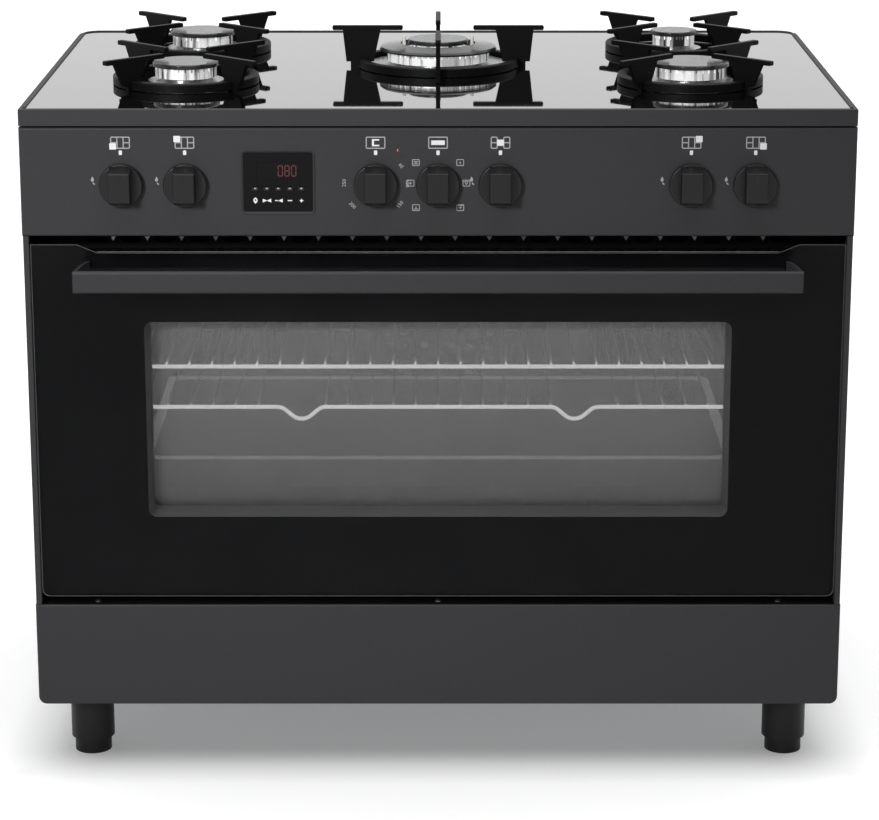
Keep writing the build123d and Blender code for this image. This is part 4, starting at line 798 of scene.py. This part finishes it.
@dataclass
class Carcass(Assembly):
    """Body panels, legs and the back, with its screws and pressed slots. Sizes in millimetres."""

    coats = {
        ANTHRACITE: "control_panel plinth_panel side_panels",
        ZINC_SHEET: "rear_panel base_panel terminal_box",
        MATT_ENAMEL: "front_frame",
        ZINC_SCREW: "plinth_screws",
        LEG_MOULDING: "legs feet",
    }
    screw_head: float = 4.2
    screw_rise: float = 2.4
    screw_recess: float = 0.9
    screw_crown: float = 0.68
    screw_sides: int = 18
    recess_span: float = 1.15
    recess_lift: float = 0.6
    screw_inset: float = 14.0
    screw_rows: int = 6
    foot_screws: tuple[float, ...] = (-220, 0, 220)
    belt_screws: tuple[float, ...] = (-330, -110, 110, 330)
    belt_z: float = 540.0
    box_inset: Point = (10.0, 9.0)
    slot_count: int = 12
    slot_pitch: float = 30.0
    slot_size: Point = (5.0, 60.0)
    slot_z: float = 640.0
    slot_round: float = 0.49
    slot_steps: int = 5
    slot_lip: float = 1.1
    lip_sides: int = 8
    tab_count: int = 20
    tab_pitch: float = 37.6
    tab_y: float = -215.2
    tab_z: float = 600.4
    tab_radius: float = 3.2
    tab_thickness: float = 1.0
    tab_sides: int = 3
    strip_setback: float = 2.2
    strip_depth: float = 38.0
    strip_rise: float = 0.5

    def build(self) -> None:
        """Makes the pieces on the back, the tabs between the vents and the black strip under the door, which
        is painted shade.
        """
        head = self.screw_head, self.screw_rise, self.screw_recess
        screws = grow(self.screw_group(), self.screw_places(), *head)
        piece("rear_screws", screws, "carcass", ZINC_SCREW)
        slots = self.row(self.slot_count, self.slot_pitch, extent("rear_panel")[1].y, self.slot_z)
        lips = grow(self.lip_group(), slots, *self.slot_size, self.slot_lip)
        piece("rear_slot_lips", lips, "carcass", ZINC_SHEET, True)
        tabs = self.row(self.tab_count, self.tab_pitch, self.tab_y, self.tab_z)
        points = grow(self.tab_group(), tabs, self.tab_radius, self.tab_thickness)
        piece("vent_tabs", points, "carcass", ZINC_SHEET)
        low, high = extent("plinth_panel")
        front, width = low.y + self.strip_setback, high.x - low.x - 2 * self.strip_setback
        strip = [[rounded(0, high.z + self.strip_rise / 2, width, self.strip_rise, self.strip_rise / 4)]]
        # A black strip on the plinth's top, painted shade for the gap under the door.
        gap_band = slab(strip, front, front + self.strip_depth)
        piece("under_door_strip", gap_band, "carcass", DOOR_GAP_SHADE)

    def screw_places(self) -> list[Vector]:
        """Spreads screws round the rear panel, across its middle and on the terminal box.

        Returns:
            The places, in metres.
        """
        (low, high), (box_low, box_high) = extent("rear_panel"), extent("terminal_box")
        inset, (side, drop) = self.screw_inset, self.box_inset
        step = (high.z - low.z - 2 * inset) / (self.screw_rows - 1)
        rows = [low.z + inset + i * step for i in range(self.screw_rows)]
        places = [(x, high.y, z) for x in (low.x + inset, high.x - inset) for z in rows]
        places += [(x, high.y, rows[0]) for x in self.foot_screws]
        places += [(x, high.y, self.belt_z) for x in self.belt_screws]
        places += [(x, box_high.y, box_high.z - drop) for x in (box_low.x + side, box_high.x - side)]
        return [Vector(place) * MM for place in places]

    @staticmethod
    def row(count: int, pitch: float, y: float, z: float) -> list[Vector]:
        """Spaces points evenly across, in metres."""
        span = (count - 1) * pitch / 2
        return [Vector((i * pitch - span, y, z)) * MM for i in range(count)]

    def screw_group(self) -> NodeTree:
        """Draws a pan-head screw with a cross recess, facing the back.

        Returns:
            The node group that sets it on each point.
        """
        names = "Head radius", "Head rise", "Recess"
        group, points, (radius, rise, recess) = blank_group("pan_head_screw", *names)
        shares = (radius, self.screw_crown), (radius, self.recess_span), (rise, self.recess_lift)
        crown, span, lift = (out(group, "ShaderNodeMath", {0: size, 1: share}, operation="MULTIPLY")
                             for size, share in shares)
        cone = {"Vertices": self.screw_sides, "Radius Top": crown, "Radius Bottom": radius, "Depth": rise}
        head = add(group, "GeometryNodeMeshCone", cone).outputs["Mesh"]
        up = out(group, "ShaderNodeCombineXYZ", {"Z": lift})
        for wide, high in ((span, recess), (recess, span)):
            size = out(group, "ShaderNodeCombineXYZ", {"X": wide, "Y": high, "Z": rise})
            blade = add(group, "GeometryNodeMeshCube", {"Size": size}).outputs["Mesh"]
            raised = out(group, "GeometryNodeTransform", {"Geometry": blade, "Translation": up})
            head = add(group, "GeometryNodeMeshBoolean", {"Mesh 1": head, "Mesh 2": raised}).outputs["Mesh"]
        return closed(group, head, ZINC_SCREW, points, (-math.pi / 2, 0, 0))

    def lip_group(self) -> NodeTree:
        """Draws the pressed lip round a cooling slot.

        Returns:
            The node group that sets it on each point.
        """
        names = "Slot width", "Slot height", "Lip radius"
        group, points, (width, height, lip) = blank_group("pressed_slot_lip", *names)
        corner = out(group, "ShaderNodeMath", {0: width, 1: self.slot_round}, operation="MULTIPLY")
        outline = out(group, "GeometryNodeCurvePrimitiveQuadrilateral", {"Width": width, "Height": height})
        corners = {"Curve": outline, "Count": self.slot_steps, "Radius": corner}
        soft = out(group, "GeometryNodeFilletCurve", corners, mode="POLY")
        ring = {"Resolution": self.lip_sides, "Radius": lip}
        section = out(group, "GeometryNodeCurvePrimitiveCircle", ring)
        rim = out(group, "GeometryNodeCurveToMesh", {"Curve": soft, "Profile Curve": section})
        return closed(group, rim, ZINC_SHEET, points, (math.pi / 2, 0, 0))

    def tab_group(self) -> NodeTree:
        """Draws the bent point of sheet between two vents, tip down.

        Returns:
            The node group that sets it on each point.
        """
        group, points, (radius, thickness) = blank_group("bent_vent_tab", "Tab radius", "Tab thickness")
        sockets = {"Vertices": self.tab_sides, "Radius": radius, "Depth": thickness}
        tab = add(group, "GeometryNodeMeshCylinder", sockets).outputs["Mesh"]
        return closed(group, tab, ZINC_SHEET, points, (math.pi / 2, math.pi / 2, 0))


@dataclass
class Hob(Assembly):
    """Glass hob with five burners and their pan supports. Sizes in millimetres."""

    coats = {
        RIM_POWDER: "hob_tray",
        HOB_GLASS: "hob_glass",
        BURNER_CUP: "burner_cups",
        BURNER_HEAD: "burner_heads",
        BURNER_CAP: "burner_caps",
        CERAMIC: "burner_probes",
        CAST_IRON: "pan_support_*",
        ALUMINISED: "gas_pipework",
    }
    glass_corner: float = 20.0
    corner_steps: int = 8
    bead_radius: float = 1.6
    bead_sides: int = 10

    def build(self) -> None:
        """Lays the seal along the sides and the back of the glass."""
        low, high = extent("hob_glass")
        route = [(low.x, low.y), (low.x, high.y), (high.x, high.y), (high.x, low.y)]
        points = [Vector((x, y, high.z)) * MM for x, y in route]
        bead = grow(self.bead_group(), points, self.glass_corner, self.bead_radius, linked=True)
        piece("hob_seal", bead, "carcass", SEAL, True)

    def bead_group(self) -> NodeTree:
        """Draws a round bead along a path with rounded corners.

        Returns:
            The node group.
        """
        group, points, (radius, bead) = blank_group("seal_bead", "Corner radius", "Bead radius")
        path = out(group, "GeometryNodeMeshToCurve", {"Mesh": points})
        corners = {"Curve": path, "Count": self.corner_steps, "Radius": radius}
        soft = out(group, "GeometryNodeFilletCurve", corners, mode="POLY")
        ring = {"Resolution": self.bead_sides, "Radius": bead}
        section = out(group, "GeometryNodeCurvePrimitiveCircle", ring)
        sockets = {"Curve": soft, "Profile Curve": section, "Fill Caps": True}
        return closed(group, out(group, "GeometryNodeCurveToMesh", sockets), SEAL)


class Burner(Enum):
    """Which burner a knob works: its side and its row on the burner map."""

    FRONT_LEFT = (-1, -1)
    REAR_LEFT = (-1, 1)
    CENTRE = (0, 0)
    REAR_RIGHT = (1, 1)
    FRONT_RIGHT = (1, -1)


class Segment(Enum):
    """A stroke of a seven-segment digit: its ends, in digit widths and half heights."""

    TOP = (-0.5, 1, 0.5, 1)
    UPPER_LEFT = (-0.5, 1, -0.5, 0)
    UPPER_RIGHT = (0.5, 1, 0.5, 0)
    MIDDLE = (-0.5, 0, 0.5, 0)
    LOWER_LEFT = (-0.5, 0, -0.5, -1)
    LOWER_RIGHT = (0.5, 0, 0.5, -1)
    BOTTOM = (-0.5, -1, 0.5, -1)


@dataclass
class ControlPanel(Assembly):
    """Knobs, timer and the print on the panel. Sizes in millimetres."""

    coats = {
        KNOB_MOULDING: "knob_*",
        BUTTON_ABS: "timer_button*",
        TIMER_ABS: "timer_case",
        BRASS: "gas_taps spindle_*",
        PHENOLIC: "oven_switches",
    }
    ink: Point = (-0.12, 0.03)
    solid_ink: Point = (-0.14, 0.03)
    timer_ink: Point = (-0.08, 0.03)
    map_size: Point = (21.1, 13.2)
    map_rise: float = 45.6
    half_map: float = 7.6
    map_corners: Point = (1.6, 0.5)
    half_map_corners: Point = (1.8, 0.8)
    oven_map_corners: Point = (1.4, 0.5)
    line: float = 1.15
    spot_size: Point = (7.2, 6.8)
    spot_place: Point = (8.1, 4.0)
    spot_corner: float = 0.8
    bar_size: Point = (14.6, 4.9)
    bar_corner: float = 0.4
    index_size: Point = (3.5, 5.0)
    index_corner: float = 1.0
    index_rise: float = 34.7
    flame_place: Point = (-31.0, 4.6)
    icon_size: Point = (8.2, 7.2)
    icon_line: float = 0.75
    icon_corners: Point = (1.1, 0.4)
    dial_radius: float = 34.0
    dial_type: float = 5.6
    dial_rise: float = 0.05
    pilot_place: Point = (-43.0, 707.15)
    pilot_radius: float = 2.4
    pilot_sides: int = 24
    timer_size: Point = (75.0, 65.0)
    timer_corner: float = 3.0
    display_size: Point = (45.6, 17.6)
    display_corner: float = 1.2
    display_rise: float = 12.2
    display_depths: Point = (0.2, 0.65)
    digit_count: int = 3
    digit_start: float = 2.4
    digit_size: Point = (4.6, 5.6)
    digit_pitch: float = 7.2
    digit_depths: Point = (0.14, 0.25)
    segment_share: float = 0.84
    segment_line: float = 1.0
    timer_icon_drop: float = 20.2
    # The grey dot painted on each timer button as a highlight.
    dot_size: Point = (2.6, 1.4)
    dot_corner: float = 0.6
    dot_rise: float = 0.5
    dot_depths: Point = (-0.06, 0.05)
    pointer_size: Point = (1.1, 9.4)
    pointer_corner: float = 0.5
    pointer_rise: float = 9.6
    pointer_depths: Point = (-0.05, 0.1)

    def __post_init__(self) -> None:
        """Finds the knobs, the timer and the faces that take print."""
        self.face, self.timer_face = front_of("control_panel"), front_of("timer_case")
        self.timer = middle("timer_case")
        self.knobs = [node for node in frame["nodes"] if node.startswith("knob_")]

    def build(self) -> None:
        """Makes the print, the timer's face and the knobs' marks."""
        self.print_marks()
        self.print_dial()
        self.pilot()
        self.bezel()
        self.display()
        self.timer_marks()
        self.pointers()

    @staticmethod
    def inlay(shapes: list[Shape], face: float, depths: Point) -> BMesh:
        """Cuts plates between two depths behind a face."""
        return slab(shapes, face + depths[0], face + depths[1])

    def oven_icon(self, x: float, z: float, strokes: list[Line]) -> list[Shape]:
        """Draws a small oven with marks inside, each a line from the oven's middle."""
        box = grid(x, z, *self.icon_size, self.icon_line, self.icon_corners)
        return [box] + [[moved(stroke(line, self.icon_line), x, z)] for line in strokes]

    def print_marks(self) -> None:
        """Prints the burner maps, the index dots, the flames and the oven's icons."""
        lines, solids = [], []
        flame = [(0.1, 4.2), (1.2, 2.4), (1.7, 0.7), (1.3, -0.8),
                 (0.2, -1.4), (-1.1, -0.9), (-1.6, 0.5), (-0.9, 2.2)]
        tail = [(0.4, -2.2), (1.7, -2.8), (3.0, -4.4), (2.1, -5.0), (0.5, -3.9)]
        width, height = self.map_size
        for burner in Burner:
            knob = middle(f"knob_{burner.name.lower()}")
            x, z, (side, row) = knob.x, knob.z + self.map_rise, burner.value
            if burner is Burner.CENTRE:
                offset = (width - self.half_map) / 2
                half = self.half_map, height, self.line, self.half_map_corners
                lines += [grid(mid, z, *half, (2,)) for mid in (x - offset, x + offset)]
            else:
                lines.append(grid(x, z, width, height, self.line, self.map_corners, (2, 1, 2)))
            (reach, rise), (dx, dz) = self.spot_place, self.flame_place
            solids.append([rounded(x + side * reach, z + row * rise, *self.spot_size, self.spot_corner)])
            lines += [[moved(part, x + dx, knob.z + dz)] for part in (flame, tail)]
        heat, oven = middle("knob_thermostat"), middle("knob_selector")
        z = oven.z + self.map_rise
        lines += [grid(knob.x, z, width, height, self.line, self.oven_map_corners) for knob in (heat, oven)]
        bracket = [(4.0, 3.9), (-3.9, 3.9), (-3.9, -3.9), (4.0, -3.9),
                   (4.0, -2.3), (-1.7, -2.3), (-1.7, 2.3), (4.0, 2.3)]
        solids += [[moved(bracket, heat.x, z)], [rounded(oven.x, z, *self.bar_size, self.bar_corner)]]
        for knob in map(middle, self.knobs):
            solids.append([rounded(knob.x, knob.z + self.index_rise, *self.index_size, self.index_corner)])
        cross = [(-1.8, 0, 1.8, 0), (0, -1.6, 0, 1.6)]
        icons = {
            (-23.8, 24.0): [(-2.8, 1.2, 2.8, 1.2), (-2.8, -1.4, 2.8, -1.4), (-1.2, 0, 1.2, 0)],
            (-29.6, 1.6): cross,
            (-23.8, -25.2): [(-2.6, -1.6, 2.6, -1.6), (0, -1.0, 0, 1.4)],
            (23.8, 24.0): [(0, -2.0, 0, 1.0), (-1.0, 0, 1.0, 0)],
            (30.6, 1.6): [(-2.4, 1.6, 2.4, 1.6), (-1.4, 0.8, 0, -1.8), (1.4, 0.8, 0, -1.8)],
            (24.0, -25.2): cross + [(-2.6, 2.2, 2.6, 2.2)],
        }
        small = [shape for (dx, dz), marks in icons.items()
                 for shape in self.oven_icon(oven.x + dx, oven.z + dz, marks)]
        for name, shapes, ink, finish in (("panel_line_print", lines, self.ink, GREY_INK),
                                          ("panel_solid_print", solids, self.solid_ink, WHITE_INK),
                                          ("panel_icon_print", small, self.ink, GREY_INK)):
            piece(name, self.inlay(shapes, self.face, ink), "carcass", finish)

    def print_dial(self) -> None:
        """Prints the thermostat's degrees round its knob."""
        knob, bm = middle("knob_thermostat"), bmesh.new()
        # Each number, its angle round the knob, and which way it is turned to read along the rim.
        dial = (("60", 37, -1), ("100", 2, -1), ("150", -40, 1), ("200", -138, 1), ("250", 177, -1))
        for degrees, angle, way in dial:
            turn = math.radians(angle)
            at = Vector((knob.x + self.dial_radius * math.cos(turn), self.face - self.dial_rise,
                         knob.z + self.dial_radius * math.sin(turn)))
            upright = Matrix.Rotation(math.pi / 2, 4, "X") @ Matrix.Rotation(turn + way * math.pi / 2, 4, "Z")
            bm.from_mesh(numerals(degrees, self.dial_type, Matrix.Translation(at * MM) @ upright))
        piece("thermostat_degrees", bm, "carcass", GREY_INK)

    def pilot(self) -> None:
        """Makes the pilot lamp's lens in its hole."""
        # The lens's radius, as a share, and its rise over the panel.
        profile = ((1.0, -3.0), (1.0, 0.2), (0.86, 0.7), (0.55, 1.1), (0.2, 1.25))
        rings = [(circle(*self.pilot_place, self.pilot_radius * share, self.pilot_sides), self.face - rise)
                 for share, rise in profile]
        piece("pilot_lens", loft(rings, False), "carcass", PILOT_LENS, True)

    def bezel(self) -> None:
        """Raises the pressed edge of the panel round the timer."""
        # How far the edge stands outside the timer and behind the panel's face, round its section.
        profile = ((2.0, 0.05), (2.0, -0.84), (1.7, -1.2), (0.1, -0.04),
                   (-0.3, 0.8), (-0.3, 0.95), (0.1, 0.95))
        x, z, (width, height) = self.timer.x, self.timer.z, self.timer_size
        rings = []
        for past, back in profile:
            edge = rounded(x, z, width + 2 * past, height + 2 * past, self.timer_corner + past)
            rings.append((edge, self.face + back))
        piece("timer_bezel", loft(rings, True), "carcass", ANTHRACITE)

    def display(self) -> None:
        """Makes the timer's window and its dim digits."""
        x, z, face = self.timer.x, self.timer.z + self.display_rise, self.timer_face
        window = [[rounded(x, z, *self.display_size, self.display_corner)]]
        pane = self.inlay(window, face, self.display_depths)
        piece("timer_display", pane, "carcass", DISPLAY_WINDOW)
        shapes = []
        for place in range(self.digit_count):
            left = x + self.digit_start + place * self.digit_pitch
            for segment in Segment:
                # Only the second digit has its middle stroke.
                if segment is Segment.MIDDLE and place != 1:
                    continue
                line = [end * by for end, by in zip(segment.value, self.digit_size * 2)]
                mid = (line[0] + line[2]) / 2, (line[1] + line[3]) / 2
                short = [m + (end - m) * self.segment_share for end, m in zip(line, mid * 2)]
                shapes.append([moved(stroke(short, self.segment_line), left, z)])
        digits = self.inlay(shapes, face, self.digit_depths)
        piece("timer_digits", digits, "carcass", DIGIT_RED)

    def timer_marks(self) -> None:
        """Prints the timer's icons, and sets a grey dot on each button as a painted highlight."""
        z, face = self.timer.z - self.timer_icon_drop, self.timer_face
        bell = [(0, 3.4), (1.6, 2.4), (2.4, 0.4), (1.6, -1.8),
                (0, -3.4), (-1.6, -1.8), (-2.4, 0.4), (-1.6, 2.4)]
        left = [(-4.6, 2.1), (-0.4, 0.4), (-0.4, -0.4), (-4.6, -2.1)]
        right = [(0.4, 0.4), (4.6, 2.1), (4.6, -2.1), (0.4, -0.4)]
        star = [(0, 2.3), (0.8, 0.8), (2.3, 0), (0.8, -0.8), (0, -2.3), (-0.8, -0.8), (-2.3, 0), (-0.8, 0.8)]
        icons = [
            [[bell, circle(0, 0.6, 1.0, 10)]],
            [[left], [right]],
            [[rounded(-2.0, 0, 3.6, 1.0, 0.3)], [right]],
            [[rounded(0, 0, 5.0, 1.2, 0.4)]],
            [[star]],
        ]
        shapes = []
        for number, icon in enumerate(icons, 1):
            name = f"timer_button_{number}"
            button, tip = middle(name), front_of(name)
            shapes += [[moved(loop, button.x, z) for loop in shape] for shape in icon]
            # A grey dot high on each button is a painted highlight.
            dot = [[rounded(button.x, button.z + self.dot_rise, *self.dot_size, self.dot_corner)]]
            mark = self.inlay(dot, tip, self.dot_depths)
            piece(f"button_dot_{number}", mark, name, GREY_INK)
        mark = self.inlay(shapes, face, self.timer_ink)
        piece("timer_icon_print", mark, "carcass", WHITE_INK)

    def pointers(self) -> None:
        """Inlays the pointer line at the top of each knob's grip."""
        for node in self.knobs:
            knob, tip = middle(node), front_of(node)
            line = [[rounded(knob.x, knob.z + self.pointer_rise, *self.pointer_size, self.pointer_corner)]]
            mark = self.inlay(line, tip, self.pointer_depths)
            piece(f"pointer_{node.removeprefix('knob_')}", mark, node, BUTTON_ABS)


@dataclass
class OvenDoor(Assembly):
    """Glass door with its black border print, inner pane, hinges and handle. Sizes in millimetres."""

    coats = {
        DOOR_GLASS: "door_outer_glass",
        HAZE_GLASS: "door_inner_glass",
        BLACK_ENAMEL: "door_frame",
        HINGE_STEEL: "door_hinge_arms hinge_brackets",
        ANTHRACITE: "door_handle handle_arms",
    }
    margin: float = 1.2
    corner: float = 8.0
    corner_slack: float = 0.01
    notch_outer: float = 391.3
    notch_inner: float = 369.3
    notch_drop: float = 9.0
    window_half: float = 321.0
    window_low: float = 294.3
    window_high: float = 516.7
    window_corner: float = 9.0
    window_steps: int = 8
    lining_inset: float = 3.5
    lining_wall: float = 0.8
    lining_gap: float = 0.3
    print_gap: float = 0.02
    print_depth: float = 0.13
    edge_skin: float = 0.12
    chamfer: float = 0.8
    bevel_width: float = 0.4
    bevel_rise: float = 0.03
    bevel_sink: float = 0.05

    def build(self) -> None:
        """Prints the border behind the outer glass, grinds its edges and lines the window."""
        low, high = extent("door_outer_glass")
        back = high.y - self.print_gap
        border = slab([[self.outline(self.margin), self.window(0)]], back - self.print_depth, back)
        piece("door_border_print", border, "door", BLACK_FRIT)
        bevel = [[self.outline(self.chamfer), self.outline(self.chamfer + self.bevel_width)]]
        ground = slab(bevel, low.y - self.bevel_rise, low.y + self.bevel_sink)
        piece("door_ground_bevel", ground, "door", GROUND_EDGE)
        skin, crest = self.edge_skin, high.z - self.notch_drop
        edge = [[rounded(0, crest, 2 * self.notch_inner, 2 * skin, skin / 2)]]
        ground = slab(edge, low.y + self.chamfer, high.y - self.chamfer)
        piece("door_ground_edge", ground, "door", GROUND_EDGE)
        near, far = high.y + self.lining_gap, front_of("door_inner_glass") - self.lining_gap
        section = ((-self.lining_wall, near), (0, near), (self.lining_inset, far),
                   (self.lining_inset - self.lining_wall, far))
        lining = loft([(self.window(inset), depth) for inset, depth in section], True)
        piece("window_lining", lining, "door", LINING)

    def outline(self, inset: float) -> Loop:
        """Draws the outer glass's outline, smaller on each side by some millimetres.

        Args:
            inset: how much smaller.

        Returns:
            The outline, with its round lower corners and its lowered top.
        """
        low, high = extent("door_outer_glass")
        half, foot, top = high.x - inset, low.z + inset, high.z - inset
        bottom = rounded(0, foot + self.corner, 2 * half, 2 * self.corner, self.corner)
        under = [p for p in bottom if p[1] < foot + self.corner - self.corner_slack]
        dip = top - self.notch_drop
        right = [(half, foot + self.corner), (half, top), (self.notch_outer, top), (self.notch_inner, dip)]
        left = [(-x, z) for x, z in reversed(right)]
        return right + left + under

    def window(self, inset: float) -> Loop:
        """Draws the window's outline, smaller on each side by some millimetres."""
        return rounded(0, (self.window_low + self.window_high) / 2, 2 * (self.window_half - inset),
                       self.window_high - self.window_low - 2 * inset, self.window_corner - inset,
                       self.window_steps)


class OvenInterior(Assembly):
    """Cavity, shelves, elements, fan and lamps."""

    coats = {
        OVEN_ENAMEL: "oven_cavity fan_baffle",
        TRAY_ENAMEL_PAINTED_RIM: "baking_tray",
        GLOWING_WIRE: "wire_shelf notched_shelf",
        ELEMENT: "heating_elements",
        WOOL: "oven_insulation",
        ALUMINISED: "convection_fan",
        HINGE_STEEL: "fan_motor",
        LAMP_COVER: "oven_lamps",
        SEAL: "door_gasket",
    }


def main() -> None:
    """Builds and dresses the cooker in its studio."""
    logging.basicConfig(level=logging.INFO, format="%(name)s: %(message)s")
    Studio().build()
    for assembly in (Carcass(), Hob(), ControlPanel(), OvenDoor(), OvenInterior()):
        assembly.build()
        assembly.dress()


if __name__ == "__main__":
    main()
